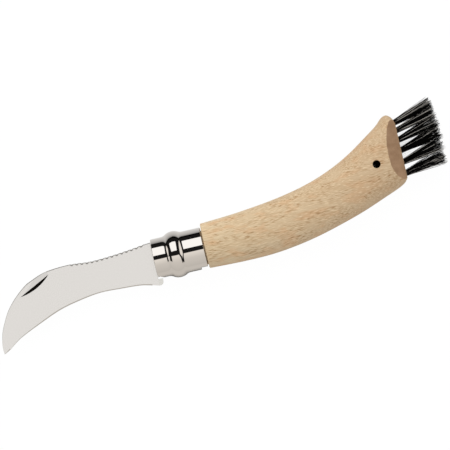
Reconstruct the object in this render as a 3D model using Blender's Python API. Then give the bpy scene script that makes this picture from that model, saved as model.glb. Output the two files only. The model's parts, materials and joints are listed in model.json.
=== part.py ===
"""Folding mushroom knife: hooked blade, locking ring, curved wooden handle and a bristle brush.

The knife lies on its side. X runs along the locking ring's axis towards the brush, Y towards
the spine of the open blade, and Z up from the surface it lies on. While it is modelled, the
zero point is on the ring's axis, under the middle of the ring's bead.
"""

import math

import bmesh
import bpy
from mathutils import Matrix, Vector

MM = 0.001

# Clearances
FIT_GAP = 0.3 * MM
OVERRUN = 3.0 * MM

# Blade
PIVOT_DROP = 2.4 * MM
FOLD_ANGLE = math.radians(178.0)
BLADE_THICKNESS = 1.8 * MM
BLADE_REACH = 77.6 * MM
BLADE_DROP = 27.5 * MM
SHOULDER_GAP = 0.4 * MM
SHOULDER_STEP = 0.1 * MM
TANG_INSET = 0.15 * MM
TANG_STEP = 0.1 * MM
HEEL_RISE = 8.0 * MM
HEEL_DROP = 12.5 * MM
HEEL_LENGTH = 2.2 * MM
GRIND_END = 0.3 * MM
NOTCH_GAP = 0.4 * MM
SERRATION_START = 6.5 * MM
SERRATION_PITCH = 2.35 * MM
SERRATION_WIDTH = 1.5 * MM
SERRATION_DEPTH = 0.5 * MM
SERRATION_COUNT = 14
NICK_LENGTH = 16.6 * MM
NICK_BULGE = 1.9 * MM
NICK_DEPTH = 0.55 * MM
NICK_REACH_SHARE = 0.7307
NICK_RISE_SHARE = 0.0164
NICK_TILT = math.radians(26.0)

# Pivot pin
PIN_RADIUS = 1.3 * MM
PIN_HEAD_RADIUS = 2.1 * MM
PIN_HEAD_HEIGHT = 0.55 * MM

# Fixed collar
COLLAR_SETBACK = 0.2 * MM
COLLAR_FRONT_RADIUS = 8.45 * MM
COLLAR_REAR_RADIUS = 8.8 * MM
COLLAR_WALL = 0.45 * MM
COLLAR_SLOT_PLAY = 0.2 * MM

# Locking ring
RING_FRONT_X = -10.4 * MM
RING_END_GAP = 0.5 * MM
RING_FRONT_PLAY = 0.35 * MM
RING_REAR_PLAY = 0.4 * MM
RING_WALL = 0.55 * MM
RING_GAP_PLAY = 0.8 * MM
RING_LIP = 0.25 * MM
BEAD_HALF_WIDTH = 3.4 * MM
BEAD_RISE = 1.2 * MM
RELIEF_LENGTH = 3.3 * MM
RELIEF_FROM = math.radians(150.0)
RELIEF_TO = math.radians(285.0)
CHAMFER_LENGTH = 2.9 * MM
CHAMFER_HALF_WIDTH = 5.6 * MM

# Handle
WOOD_X = 13.8 * MM
LENGTH_PAST_BLADE = 20.8 * MM
RISE_PAST_BLADE = 13.5 * MM
SHOULDER_SHRINK = 0.55 * MM
BELLY_CROWN = 0.45 * MM
EDGE_ROUND = 0.5 * MM
LANYARD_INSET = 4.75 * MM
LANYARD_RISE_SHARE = 0.479
LANYARD_RADIUS = 1.85 * MM

# Brush end
END_WALL = 0.7 * MM
FACET_LENGTH = 7.0 * MM
TUFT_RADIUS = 1.4 * MM
TUFT_LENGTH = 20.6 * MM
TUFT_LOWEST_SHARE = 0.31
TUFT_SPAN_SHARE = 0.583
ROW_SPACING = 4.8 * MM
ROW_SPREAD = 0.4 * MM
LEVEL_SPREAD = 0.7 * MM
TUFT_SUNK = 0.45 * MM
HOLE_DEPTH = 8.5 * MM
TUFT_LEAN = math.radians(14.3)
STRAND_INSET = 0.035 * MM
ANCHOR_LENGTH = 1.6 * MM
ANCHOR_WIDTH = 2.4 * MM
ANCHOR_THICKNESS = 0.5 * MM

# Blade outline, as shares of its reach in front of the shoulder and of its drop below the axis
back_shares = [
    (0.998, -0.985), (0.999, -0.876), (0.986, -0.676), (0.957, -0.487), (0.919, -0.302),
    (0.867, -0.131), (0.8, 0.029), (0.753, 0.104), (0.648, 0.206), (0.505, 0.234),
    (0.376, 0.205), (0.247, 0.219), (0.119, 0.253), (0.041, 0.282),
]
edge_shares = [
    (0.996, -1.0), (0.959, -0.944), (0.878, -0.791), (0.747, -0.627), (0.612, -0.478),
    (0.483, -0.395), (0.356, -0.347), (0.233, -0.358), (0.113, -0.38), (0.041, -0.424),
]

# Across the blade from the back, the share of its half thickness that is left
grind_shares = [(0.0, 1.0), (0.3, 0.97), (0.62, 0.78), (0.9, 0.4), (1.0, 0.07)]
blunt_shares = [(0.0, 1.0), (0.3, 1.0), (0.62, 1.0), (0.9, 0.95), (1.0, 0.88)]

# Heel below the ring: shares of its length from the shoulder and of its drop
heel_shares = [(0.45, 0.995), (0.78, 0.965), (0.96, 0.9)]

# Handle outline, as shares of its length from the shoulder and of its rise
top_shares = [
    (0.0, 0.276), (0.16, 0.3), (0.32, 0.341), (0.44, 0.388), (0.55, 0.452), (0.66, 0.548),
    (0.76, 0.668), (0.86, 0.822), (0.915, 0.912), (0.944, 0.978), (0.967, 1.0), (0.984, 0.98),
    (0.994, 0.947), (1.0, 0.905),
]
bottom_shares = [
    (0.0, -0.239), (0.16, -0.251), (0.3, -0.246), (0.42, -0.215), (0.54, -0.161), (0.66, -0.086),
    (0.77, -0.006), (0.87, 0.083), (0.95, 0.156), (0.985, 0.2), (1.0, 0.238),
]
# Handle fullness along its length: share of the way from the shoulder's to the belly's thickness
belly_shares = [(0.0, 0.0), (0.12, 0.45), (0.3, 1.0), (1.0, 1.0)]
SECTION_POWER = 2.15

# Heights of the tufts as shares of their span, lowest first, and how long each level is
level_shares = [0.0, 0.226, 0.452, 0.657, 0.841, 1.0]
length_shares = [0.975, 0.985, 1.0, 0.995, 0.98, 0.95]
STRAND_TAPER_SHARE = 0.3
SHORT_STRAND_SHARE = 0.1
TIP_SPREAD_SHARE = 0.47

# Counts that set how fine the mesh is
TURN_SIDES = 56
HOLE_SIDES = 20
SECTION_SIDES = 44
BLADE_STATIONS = 30
LATTICE_RINGS = 3
GOLDEN_SHARE = 0.618

# Widths, radii and thicknesses that follow from the sizes above
HOLE_RADIUS = PIN_RADIUS + FIT_GAP
TUFT_HOLE_RADIUS = TUFT_RADIUS + FIT_GAP
SLOT_WIDTH = BLADE_THICKNESS + 2.0 * FIT_GAP
COLLAR_SLOT = SLOT_WIDTH + COLLAR_SLOT_PLAY
RING_GAP = COLLAR_SLOT + RING_GAP_PLAY
RING_FRONT_RADIUS = COLLAR_FRONT_RADIUS + RING_FRONT_PLAY + RING_WALL
RING_REAR_RADIUS = COLLAR_REAR_RADIUS + RING_REAR_PLAY + RING_WALL
BEAD_RADIUS = RING_REAR_RADIUS + BEAD_RISE
TANG_HALF = COLLAR_FRONT_RADIUS - PIVOT_DROP - TANG_INSET
HANDLE_THICKNESS = 2.0 * BEAD_RADIUS
SHOULDER_HALF_THICKNESS = BEAD_RADIUS - SHOULDER_SHRINK
BELLY_HALF_THICKNESS = BEAD_RADIUS + BELLY_CROWN
END_THICKNESS = ROW_SPACING + 2.0 * (TUFT_HOLE_RADIUS + END_WALL)

# Lengths and places that follow from the sizes above
PIVOT = Vector((0.0, -PIVOT_DROP, 0.0))
SHOULDER_X = RING_FRONT_X - SHOULDER_GAP
COLLAR_FRONT_X = RING_FRONT_X + COLLAR_SETBACK
TENON_FRONT_X = COLLAR_FRONT_X + FIT_GAP
COLLAR_REAR_X = WOOD_X - FIT_GAP
RING_REAR_X = WOOD_X - RING_END_GAP
RELIEF_X = RING_REAR_X - RELIEF_LENGTH
NOTCH_Y = -(RING_FRONT_RADIUS + NOTCH_GAP)
NICK_X = SHOULDER_X - NICK_REACH_SHARE * BLADE_REACH
NICK_Y = NICK_RISE_SHARE * BLADE_DROP
HANDLE_LENGTH = BLADE_REACH + LENGTH_PAST_BLADE
HANDLE_RISE = BLADE_DROP + RISE_PAST_BLADE
END_X = WOOD_X + HANDLE_LENGTH
LANYARD_X = END_X - HOLE_DEPTH - LANYARD_INSET
LANYARD_Y = LANYARD_RISE_SHARE * HANDLE_RISE
TUFT_LOWEST = TUFT_LOWEST_SHARE * HANDLE_RISE
TUFT_SPAN = TUFT_SPAN_SHARE * HANDLE_RISE
TUFT_AXIS = Vector((math.cos(TUFT_LEAN), math.sin(TUFT_LEAN), 0.0))
TUFT_ACROSS = Vector((-math.sin(TUFT_LEAN), math.cos(TUFT_LEAN), 0.0))
UP = Vector((0.0, 0.0, 1.0))


def clear_scene():
    for thing in list(bpy.data.objects):
        bpy.data.objects.remove(thing, do_unlink=True)


def make_material(name, color, roughness, metallic):
    material = bpy.data.materials.new(name)
    material.use_nodes = True
    shader = material.node_tree.nodes["Principled BSDF"]
    shader.inputs["Base Color"].default_value = (*color, 1.0)
    shader.inputs["Roughness"].default_value = roughness
    shader.inputs["Metallic"].default_value = metallic
    return material


def finish_object(bm, name, parent, material=None):
    """Turn the bmesh into a smooth-shaded object with its faces pointing out."""
    bmesh.ops.recalc_face_normals(bm, faces=bm.faces)
    mesh = bpy.data.meshes.new(name)
    bm.to_mesh(mesh)
    bm.free()
    mesh.shade_smooth()
    mesh.set_sharp_from_angle(angle=math.radians(30.0))
    piece = bpy.data.objects.new(name, mesh)
    bpy.context.scene.collection.objects.link(piece)
    piece.parent = parent
    if material:
        mesh.materials.append(material)
    return piece


def cut(piece, cutter):
    """Cut the cutter's shape out of the piece and keep the cutter as a guide."""
    cutter.hide_render = True
    cutter.display_type = "WIRE"
    modifier = piece.modifiers.new(cutter.name, "BOOLEAN")
    modifier.operation = "DIFFERENCE"
    modifier.solver = "EXACT"
    modifier.use_self = True
    modifier.object = cutter


def add_extrusion(bm, outline, direction):
    """Extrude a flat closed outline of points along a direction."""
    face = bm.faces.new([bm.verts.new(point) for point in outline])
    result = bmesh.ops.extrude_face_region(bm, geom=[face])
    moved = [item for item in result["geom"] if isinstance(item, bmesh.types.BMVert)]
    bmesh.ops.translate(bm, verts=moved, vec=direction)


def add_prism(bm, outline, low_z, high_z):
    """Extrude a closed outline in X and Y from low_z to high_z."""
    add_extrusion(bm, [(x, y, low_z) for x, y in outline], UP * (high_z - low_z))


def add_rod(bm, start, end, radius, sides):
    """A straight round bar between two points."""
    along = end - start
    turn = along.to_track_quat("Z", "Y").to_matrix().to_4x4()
    matrix = Matrix.Translation((start + end) / 2.0) @ turn
    bmesh.ops.create_cone(
        bm, cap_ends=True, segments=sides, radius1=radius, radius2=radius,
        depth=along.length, matrix=matrix,
    )


def add_turned(bm, profile, sides):
    """Spin a closed profile of (x, radius) points once round the X axis."""
    verts = [bm.verts.new((x, radius, 0.0)) for x, radius in profile]
    edges = [bm.edges.new(pair) for pair in zip(verts, verts[1:] + verts[:1])]
    bmesh.ops.spin(
        bm, geom=verts + edges, cent=(0.0, 0.0, 0.0), axis=(1.0, 0.0, 0.0),
        angle=math.tau, steps=sides, use_merge=True,
    )


def add_loft(bm, sections):
    """Join equal rings of points into one closed skin with capped ends."""
    rings = [[bm.verts.new(point) for point in section] for section in sections]
    for ring, following in zip(rings, rings[1:]):
        count = len(ring)
        for index in range(count):
            after = (index + 1) % count
            bm.faces.new((ring[index], ring[after], following[after], following[index]))
    bm.faces.new(rings[0])
    bm.faces.new(rings[-1])


def smooth_curve(points, steps):
    """A Catmull-Rom curve through 2-D points, with steps stretches between each pair."""
    known = [Vector(point) for point in points]
    known = [2.0 * known[0] - known[1]] + known + [2.0 * known[-1] - known[-2]]
    curve = []
    for before, start, end, after in zip(known, known[1:], known[2:], known[3:]):
        for step in range(steps):
            t = step / steps
            linear = (end - before) * t
            square = (2.0 * before - 5.0 * start + 4.0 * end - after) * t * t
            cube = (3.0 * start - before - 3.0 * end + after) * t * t * t
            curve.append((2.0 * start + linear + square + cube) / 2.0)
    curve.append(known[-2])
    return curve


def spread_evenly(curve, count):
    """Count points at equal distances along a curve of points."""
    lengths = [0.0]
    for start, end in zip(curve, curve[1:]):
        lengths.append(lengths[-1] + (end - start).length)
    points = []
    piece = 0
    for index in range(count):
        wanted = lengths[-1] * index / (count - 1)
        while piece < len(curve) - 2 and lengths[piece + 1] < wanted:
            piece += 1
        share = (wanted - lengths[piece]) / (lengths[piece + 1] - lengths[piece])
        points.append(curve[piece].lerp(curve[piece + 1], share))
    return points


def height_at(curve, x):
    """Height of a curve of points that runs left to right, at x."""
    for start, end in zip(curve, curve[1:]):
        if x <= end.x:
            share = (x - start.x) / (end.x - start.x)
            return start.y + share * (end.y - start.y)
    return curve[-1].y


def turned_about_pivot(point, angle):
    """A point in the blade's plane after the blade has turned by the angle."""
    offset = Vector((point[0], point[1])) - PIVOT.xy
    offset.rotate(Matrix.Rotation(angle, 2))
    return PIVOT.xy + offset


def blade_curve(shares):
    """A blade outline curve in real sizes, from the tip to the end of the sharpened stretch."""
    points = [
        (SHOULDER_X - share_x * BLADE_REACH, share_y * BLADE_DROP) for share_x, share_y in shares
    ]
    return smooth_curve(points, 6)


def heel_points():
    """The rounded heel below the ring, from the blade's edge towards the pivot."""
    return [
        Vector((SHOULDER_X + share_x * HEEL_LENGTH, -share_y * HEEL_DROP))
        for share_x, share_y in heel_shares
    ]


def blade_section(back, edge, shares):
    """A ring of points round the blade between its back and its edge."""
    half = BLADE_THICKNESS / 2.0
    front = []
    rear = []
    for across, thick in shares:
        place = back.lerp(edge, across)
        front.append((place.x, place.y, half * thick))
        rear.append((place.x, place.y, -half * thick))
    return front + rear[::-1]


def blade_sections():
    """All sections of the blade, from the tip to the round end of the tang."""
    backs = spread_evenly(blade_curve(back_shares), BLADE_STATIONS)
    edges = spread_evenly(blade_curve(edge_shares), BLADE_STATIONS)
    sections = [blade_section(back, edge, grind_shares) for back, edge in zip(backs, edges)]
    tang_top = PIVOT.y + TANG_HALF
    tang_bottom = PIVOT.y - TANG_HALF
    pairs = [
        (backs[-1].x + GRIND_END, backs[-1].y, edges[-1].y),
        (SHOULDER_X, HEEL_RISE, -HEEL_DROP),
        (SHOULDER_X + SHOULDER_STEP, tang_top, -HEEL_DROP),
    ]
    pairs += [(point.x, tang_top, point.y) for point in heel_points()]
    pairs.append((SHOULDER_X + HEEL_LENGTH, tang_top, tang_bottom))
    round_steps = 8
    for step in range(round_steps):
        angle = math.radians(90.0) * step / round_steps
        reach = TANG_HALF * math.cos(angle)
        pairs.append((TANG_HALF * math.sin(angle), PIVOT.y + reach, PIVOT.y - reach))
    for x, top, bottom in pairs:
        sections.append(blade_section(Vector((x, top)), Vector((x, bottom)), blunt_shares))
    return sections


def add_serrations(bm):
    """Shallow notches along the back of the blade, in front of the shoulder."""
    curve = blade_curve(back_shares)[::-1]
    curve = [Vector((-point.x, point.y)) for point in curve]
    for index in range(SERRATION_COUNT):
        x = SHOULDER_X - SERRATION_START - index * SERRATION_PITCH
        y = height_at(curve, -x)
        half = SERRATION_WIDTH / 2.0
        outline = [
            (x - half, y + SERRATION_DEPTH), (x, y - SERRATION_DEPTH), (x + half, y + SERRATION_DEPTH),
        ]
        add_prism(bm, outline, -BLADE_THICKNESS, BLADE_THICKNESS)


def add_nail_nick(bm):
    """A lens-shaped nick on the upper side, deepest along its straight top line."""
    arc_steps = 10
    half = NICK_LENGTH / 2.0
    outline = []
    for step in range(arc_steps + 1):
        share = 2.0 * step / arc_steps - 1.0
        outline.append(Vector((share * half, -NICK_BULGE * (1.0 - share * share))))
    turn = Matrix.Rotation(NICK_TILT, 2)
    centre = Vector((NICK_X, NICK_Y))
    placed = []
    for point in outline:
        point.rotate(turn)
        placed.append(point + centre)
    surface = BLADE_THICKNESS / 2.0
    add_prism(bm, placed, surface - NICK_DEPTH, surface + NICK_DEPTH)


def make_blade(root, material):
    """The hooked blade with its tang, hinged on the pivot pin."""
    hinge = bpy.data.objects.new("blade_pivot", None)
    hinge.parent = root
    hinge.location = PIVOT
    bpy.context.scene.collection.objects.link(hinge)
    bm = bmesh.new()
    add_loft(bm, blade_sections())
    blade = finish_object(bm, "blade", hinge, material)
    cuts = bmesh.new()
    add_rod(cuts, PIVOT - UP * OVERRUN, PIVOT + UP * OVERRUN, HOLE_RADIUS, HOLE_SIDES)
    notch_top = PIVOT.y - TANG_HALF - TANG_STEP
    notch_left = SHOULDER_X + SHOULDER_STEP / 2.0
    notch_right = SHOULDER_X + HEEL_LENGTH + OVERRUN
    notch = [
        (notch_left, NOTCH_Y), (notch_right, NOTCH_Y), (notch_right, notch_top), (notch_left, notch_top),
    ]
    add_prism(cuts, notch, -BLADE_THICKNESS, BLADE_THICKNESS)
    add_serrations(cuts)
    add_nail_nick(cuts)
    cutter = finish_object(cuts, "blade_cuts", hinge)
    for piece in (blade, cutter):
        piece.location = -PIVOT
    cut(blade, cutter)


def collar_radius(x):
    """Outer radius of the fixed collar, which widens towards the handle."""
    share = (x - COLLAR_FRONT_X) / (COLLAR_REAR_X - COLLAR_FRONT_X)
    return COLLAR_FRONT_RADIUS + share * (COLLAR_REAR_RADIUS - COLLAR_FRONT_RADIUS)


def tenon_radius(x):
    return collar_radius(x) - COLLAR_WALL - FIT_GAP


def pin_hole_cutter(name, parent):
    """A rod as wide as the pin's hole, right through the knife."""
    bm = bmesh.new()
    reach = UP * (RING_REAR_RADIUS + OVERRUN)
    add_rod(bm, PIVOT - reach, PIVOT + reach, HOLE_RADIUS, HOLE_SIDES)
    return finish_object(bm, name, parent)


def bottom_slot_cutter(name, parent, width, depth):
    """A slot along the underside of the collar or the ring, open at both ends."""
    bm = bmesh.new()
    left = RING_FRONT_X - OVERRUN
    right = WOOD_X + OVERRUN
    outline = [(left, -depth), (right, -depth), (right, 0.0), (left, 0.0)]
    add_prism(bm, outline, -width / 2.0, width / 2.0)
    return finish_object(bm, name, parent)


def make_collar(root, material):
    """The fixed collar pressed over the handle's tenon, slotted for the blade."""
    profile = []
    for x in (COLLAR_FRONT_X, COLLAR_REAR_X):
        profile.append((x, collar_radius(x)))
    for x in (COLLAR_REAR_X, COLLAR_FRONT_X):
        profile.append((x, collar_radius(x) - COLLAR_WALL))
    bm = bmesh.new()
    add_turned(bm, profile, TURN_SIDES)
    collar = finish_object(bm, "fixed_collar", root, material)
    depth = COLLAR_REAR_RADIUS + OVERRUN
    cut(collar, bottom_slot_cutter("collar_slot_cut", root, COLLAR_SLOT, depth))
    cut(collar, pin_hole_cutter("collar_pin_cut", root))


def bead_height(x):
    """Outer radius of the ring at x: two plain stretches and a round bead between them."""
    side = RING_FRONT_RADIUS if x < 0.0 else RING_REAR_RADIUS
    rise = BEAD_RADIUS - side
    arc = (BEAD_HALF_WIDTH ** 2 + rise ** 2) / (2.0 * rise)
    return BEAD_RADIUS - arc + math.sqrt(arc ** 2 - x ** 2)


def ring_profile():
    """The ring's wall as a closed outline of (x, radius) points."""
    bead_steps = 10
    outer = [
        (RING_FRONT_X, RING_FRONT_RADIUS - RING_LIP), (RING_FRONT_X + RING_LIP, RING_FRONT_RADIUS),
    ]
    for step in range(bead_steps + 1):
        x = BEAD_HALF_WIDTH * (2.0 * step / bead_steps - 1.0)
        outer.append((x, bead_height(x)))
    outer += [(RING_REAR_X - RING_LIP, RING_REAR_RADIUS), (RING_REAR_X, RING_REAR_RADIUS - RING_LIP)]
    inner = [(RING_REAR_X, RING_REAR_RADIUS - RING_WALL)]
    narrowed = BEAD_HALF_WIDTH - RING_WALL / 2.0
    for step in range(bead_steps, -1, -1):
        share = 2.0 * step / bead_steps - 1.0
        inner.append((narrowed * share, bead_height(BEAD_HALF_WIDTH * share) - RING_WALL))
    inner.append((RING_FRONT_X, RING_FRONT_RADIUS - RING_WALL))
    return outer + inner


def make_ring(root, material):
    """The split locking ring, which turns round the X axis to lock the blade."""
    turner = bpy.data.objects.new("ring_axis", None)
    turner.parent = root
    bpy.context.scene.collection.objects.link(turner)
    bm = bmesh.new()
    add_turned(bm, ring_profile(), TURN_SIDES)
    ring = finish_object(bm, "locking_ring", turner, material)
    reach = BEAD_RADIUS + OVERRUN
    cut(ring, bottom_slot_cutter("ring_gap_cut", turner, RING_GAP, reach))
    cut(ring, ring_chamfer_cutter(turner, reach))
    cut(ring, ring_relief_cutter(turner, reach))


def ring_chamfer_cutter(parent, reach):
    """A wedge that slopes both front corners of the ring's gap."""
    half = RING_GAP / 2.0
    slope = (CHAMFER_HALF_WIDTH - half) / CHAMFER_LENGTH
    wide = CHAMFER_HALF_WIDTH + slope * OVERRUN
    left = RING_FRONT_X - OVERRUN
    right = RING_FRONT_X + CHAMFER_LENGTH
    bm = bmesh.new()
    corners = [(left, -wide), (left, wide), (right, half), (right, -half)]
    add_extrusion(bm, [(x, -reach, z) for x, z in corners], (0.0, reach, 0.0))
    return finish_object(bm, "ring_chamfer_cut", parent)


def ring_relief_cutter(parent, reach):
    """A sector that shortens the ring's rear edge where it turns past the folded blade."""
    steps = 12
    wide = reach / math.cos((RELIEF_TO - RELIEF_FROM) / steps / 2.0)
    bm = bmesh.new()
    outline = [(RELIEF_X, 0.0, 0.0)]
    for step in range(steps + 1):
        angle = RELIEF_FROM + (RELIEF_TO - RELIEF_FROM) * step / steps
        outline.append((RELIEF_X, wide * math.cos(angle), wide * math.sin(angle)))
    add_extrusion(bm, outline, (RING_REAR_X - RELIEF_X + OVERRUN, 0.0, 0.0))
    return finish_object(bm, "ring_relief_cut", parent)


def make_pin(root, material):
    """The pivot pin, whose heads follow the collar's curve under the ring's bead."""
    under = collar_radius(0.0) + FIT_GAP
    over = under + PIN_HEAD_HEIGHT
    half_head = PIN_HEAD_RADIUS / 2.0
    layers = [(half_head, over), (PIN_HEAD_RADIUS, over), (PIN_HEAD_RADIUS, under), (PIN_RADIUS, under)]
    levels = [(radius, round_size, 1.0) for radius, round_size in layers]
    levels += [(radius, round_size, -1.0) for radius, round_size in layers[::-1]]
    sections = []
    for radius, round_size, side in levels:
        ring = []
        for index in range(HOLE_SIDES):
            angle = math.tau * index / HOLE_SIDES
            x = radius * math.cos(angle)
            y = PIVOT.y + radius * math.sin(angle)
            ring.append((x, y, side * math.sqrt(round_size ** 2 - y ** 2)))
        sections.append(ring)
    bm = bmesh.new()
    add_loft(bm, sections)
    finish_object(bm, "pivot_pin", root, material)


def handle_section(x, top, bottom, half_thickness, power):
    """One section of the handle, flattened where it is wider than the handle's thickness."""
    middle = (top + bottom) / 2.0
    half_height = (top - bottom) / 2.0
    facet_slope = (HANDLE_THICKNESS - END_THICKNESS) / 2.0 / FACET_LENGTH
    limit = min(HANDLE_THICKNESS / 2.0, END_THICKNESS / 2.0 + facet_slope * (END_X - x))
    points = []
    for index in range(SECTION_SIDES):
        angle = math.tau * (index + 0.5) / SECTION_SIDES
        up = math.cos(angle)
        out = math.sin(angle)
        y = middle + half_height * math.copysign(abs(up) ** (2.0 / power), up)
        z = half_thickness * math.copysign(abs(out) ** (2.0 / power), out)
        points.append((x, y, max(-limit, min(limit, z))))
    return points


def handle_sections():
    """Sections from the front of the tenon to the brush end."""
    top = smooth_curve([(WOOD_X + x * HANDLE_LENGTH, y * HANDLE_RISE) for x, y in top_shares], 6)
    bottom = smooth_curve([(WOOD_X + x * HANDLE_LENGTH, y * HANDLE_RISE) for x, y in bottom_shares], 6)
    belly = smooth_curve([(WOOD_X + x * HANDLE_LENGTH, share) for x, share in belly_shares], 6)
    sections = []
    for x in (TENON_FRONT_X, WOOD_X):
        radius = tenon_radius(x)
        sections.append(handle_section(x, radius, -radius, radius, 2.0))
    shoulder_top = top[0].y - EDGE_ROUND
    shoulder_bottom = bottom[0].y + EDGE_ROUND
    shoulder_half = SHOULDER_HALF_THICKNESS - EDGE_ROUND
    sections.append(handle_section(WOOD_X, shoulder_top, shoulder_bottom, shoulder_half, 2.0))
    facet_x = END_X - FACET_LENGTH
    body_steps = 30
    facet_steps = 10
    start_x = WOOD_X + EDGE_ROUND
    stations = [start_x + (facet_x - start_x) * step / body_steps for step in range(body_steps)]
    stations += [facet_x + FACET_LENGTH * step / facet_steps for step in range(facet_steps + 1)]
    growth = BELLY_HALF_THICKNESS - SHOULDER_HALF_THICKNESS
    for x in stations:
        full = max(0.0, min(1.0, height_at(belly, x)))
        power = 2.0 + (SECTION_POWER - 2.0) * full
        half = SHOULDER_HALF_THICKNESS + growth * full
        sections.append(handle_section(x, height_at(top, x), height_at(bottom, x), half, power))
    return sections


def slot_outline():
    """The blade slot from the side: room for the tang, the folded edge and the tip's swing."""
    front = TENON_FRONT_X - OVERRUN
    below = -HEEL_DROP - OVERRUN
    tang_room = PIVOT.y + TANG_HALF + FIT_GAP
    heel = [turned_about_pivot(point, FOLD_ANGLE) for point in heel_points()[::-1]]
    heel_x = min(point.x for point in heel) - FIT_GAP
    heel_y = max(point.y for point in heel) + FIT_GAP
    outline = [(front, below), (front, tang_room), (heel_x, tang_room), (heel_x, heel_y)]
    heel_end = max(point.x for point in heel)
    edge = spread_evenly(blade_curve(edge_shares)[::-1], 16)
    folded = [turned_about_pivot(point, FOLD_ANGLE) for point in edge]
    outline += [(point.x, point.y + FIT_GAP + FIT_GAP) for point in folded[:-1] if point.x > heel_end]
    tip = folded[-1] - PIVOT.xy
    swing = tip.length + FIT_GAP
    tip_angle = math.atan2(tip.y, tip.x) + FIT_GAP / tip.length
    last_angle = math.asin((below - PIVOT.y) / swing)
    arc_steps = 6
    for step in range(arc_steps + 1):
        angle = tip_angle + (last_angle - tip_angle) * step / arc_steps
        outline.append((PIVOT.x + swing * math.cos(angle), PIVOT.y + swing * math.sin(angle)))
    return outline


def tuft_roots():
    """Name, root point, row side and level of every tuft in the end face."""
    roots = []
    for row, side in (("upper", 1.0), ("lower", -1.0)):
        for level, share in enumerate(level_shares):
            y = TUFT_LOWEST + share * TUFT_SPAN
            roots.append((f"{row}_{level + 1}", Vector((END_X, y, side * ROW_SPACING / 2.0)), side, level))
    return roots


def make_handle(root, material):
    """The wooden handle with its tenon, blade slot, lanyard hole and tuft holes."""
    bm = bmesh.new()
    add_loft(bm, handle_sections())
    handle = finish_object(bm, "handle", root, material)
    slot = bmesh.new()
    add_prism(slot, slot_outline(), -SLOT_WIDTH / 2.0, SLOT_WIDTH / 2.0)
    cut(handle, finish_object(slot, "blade_slot_cut", root))
    holes = bmesh.new()
    reach = UP * (HANDLE_THICKNESS / 2.0 + OVERRUN)
    lanyard = Vector((LANYARD_X, LANYARD_Y, 0.0))
    add_rod(holes, PIVOT - reach, PIVOT + reach, HOLE_RADIUS, HOLE_SIDES)
    add_rod(holes, lanyard - reach, lanyard + reach, LANYARD_RADIUS, HOLE_SIDES)
    for _, point, _, _ in tuft_roots():
        bottom = point - TUFT_AXIS * HOLE_DEPTH
        add_rod(holes, bottom, point + TUFT_AXIS * OVERRUN, TUFT_HOLE_RADIUS, HOLE_SIDES)
    cut(handle, finish_object(holes, "handle_holes_cut", root))


def lattice_point(column, line):
    """A point of a three-way lattice, drawn out to a disc of radius one."""
    size = max(abs(column), abs(line), abs(column + line))
    if size == 0:
        return Vector((0.0, 0.0))
    flat = Vector((column + line / 2.0, line * math.sqrt(3.0) / 2.0))
    return flat.normalized() * size / LATTICE_RINGS


def tip_radius(level):
    """Half the room that a tuft has between its neighbours at the tips."""
    heights = [share * TUFT_SPAN for share in level_shares]
    steps = [abs(heights[level] - other) for other in heights if other != heights[level]]
    level_room = min(steps) * math.cos(TUFT_LEAN) * TIP_SPREAD_SHARE
    row_room = ROW_SPACING / 2.0 + ROW_SPREAD - FIT_GAP / 2.0
    return min(level_room, row_room)


def make_tuft(root, name, point, side, level, material):
    """One tuft: strands that fan out from a plug, which sits in its hole."""
    origin = point - TUFT_AXIS * TUFT_SUNK
    bm = bmesh.new()
    grid = {}
    span = range(-LATTICE_RINGS - 1, LATTICE_RINGS + 1)
    for column in range(-LATTICE_RINGS, LATTICE_RINGS + 1):
        for line in range(-LATTICE_RINGS, LATTICE_RINGS + 1):
            if abs(column + line) <= LATTICE_RINGS:
                place = lattice_point(column, line) * TUFT_RADIUS
                grid[column, line] = bm.verts.new(origin + TUFT_ACROSS * place.x + UP * place.y)
    # Every second triangle of the lattice carries a bristle
    bristle_faces = []
    for column in span:
        for line in span:
            rising = [(column, line), (column + 1, line), (column, line + 1)]
            falling = [(column + 1, line), (column + 1, line + 1), (column, line + 1)]
            if all(corner in grid for corner in rising):
                bristle_faces.append(bm.faces.new([grid[corner] for corner in rising]))
            if all(corner in grid for corner in falling):
                bm.faces.new([grid[corner] for corner in falling])
    rim = [edge for edge in bm.edges if edge.is_boundary]
    plug = bmesh.ops.extrude_edge_only(bm, edges=rim)
    lowered = [item for item in plug["geom"] if isinstance(item, bmesh.types.BMVert)]
    depth = HOLE_DEPTH - TUFT_SUNK - ANCHOR_LENGTH - FIT_GAP - FIT_GAP
    bmesh.ops.translate(bm, verts=lowered, vec=-TUFT_AXIS * depth)
    bottom = [item for item in plug["geom"] if isinstance(item, bmesh.types.BMEdge)]
    bmesh.ops.contextual_create(bm, geom=bottom)
    bmesh.ops.recalc_face_normals(bm, faces=bm.faces)
    bmesh.ops.inset_individual(bm, faces=bristle_faces, thickness=STRAND_INSET, use_even_offset=True)
    strands = bmesh.ops.extrude_discrete_faces(bm, faces=bristle_faces)["faces"]
    grow = tip_radius(level) / TUFT_RADIUS - 1.0
    middle = TUFT_LOWEST + TUFT_SPAN / 2.0
    lift = LEVEL_SPREAD * (point.y - middle) / (TUFT_SPAN / 2.0)
    drift = TUFT_ACROSS * lift + UP * (side * ROW_SPREAD)
    length = TUFT_LENGTH * length_shares[level]
    for index, face in enumerate(strands):
        centre = face.calc_center_median()
        reach = 1.0 - SHORT_STRAND_SHARE * (index * GOLDEN_SHARE % 1.0)
        outward = (centre - origin) * grow + drift + TUFT_AXIS * length
        for vert in face.verts:
            vert.co = centre + (vert.co - centre) * STRAND_TAPER_SHARE + outward * reach
    finish_object(bm, name, root, material)


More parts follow.
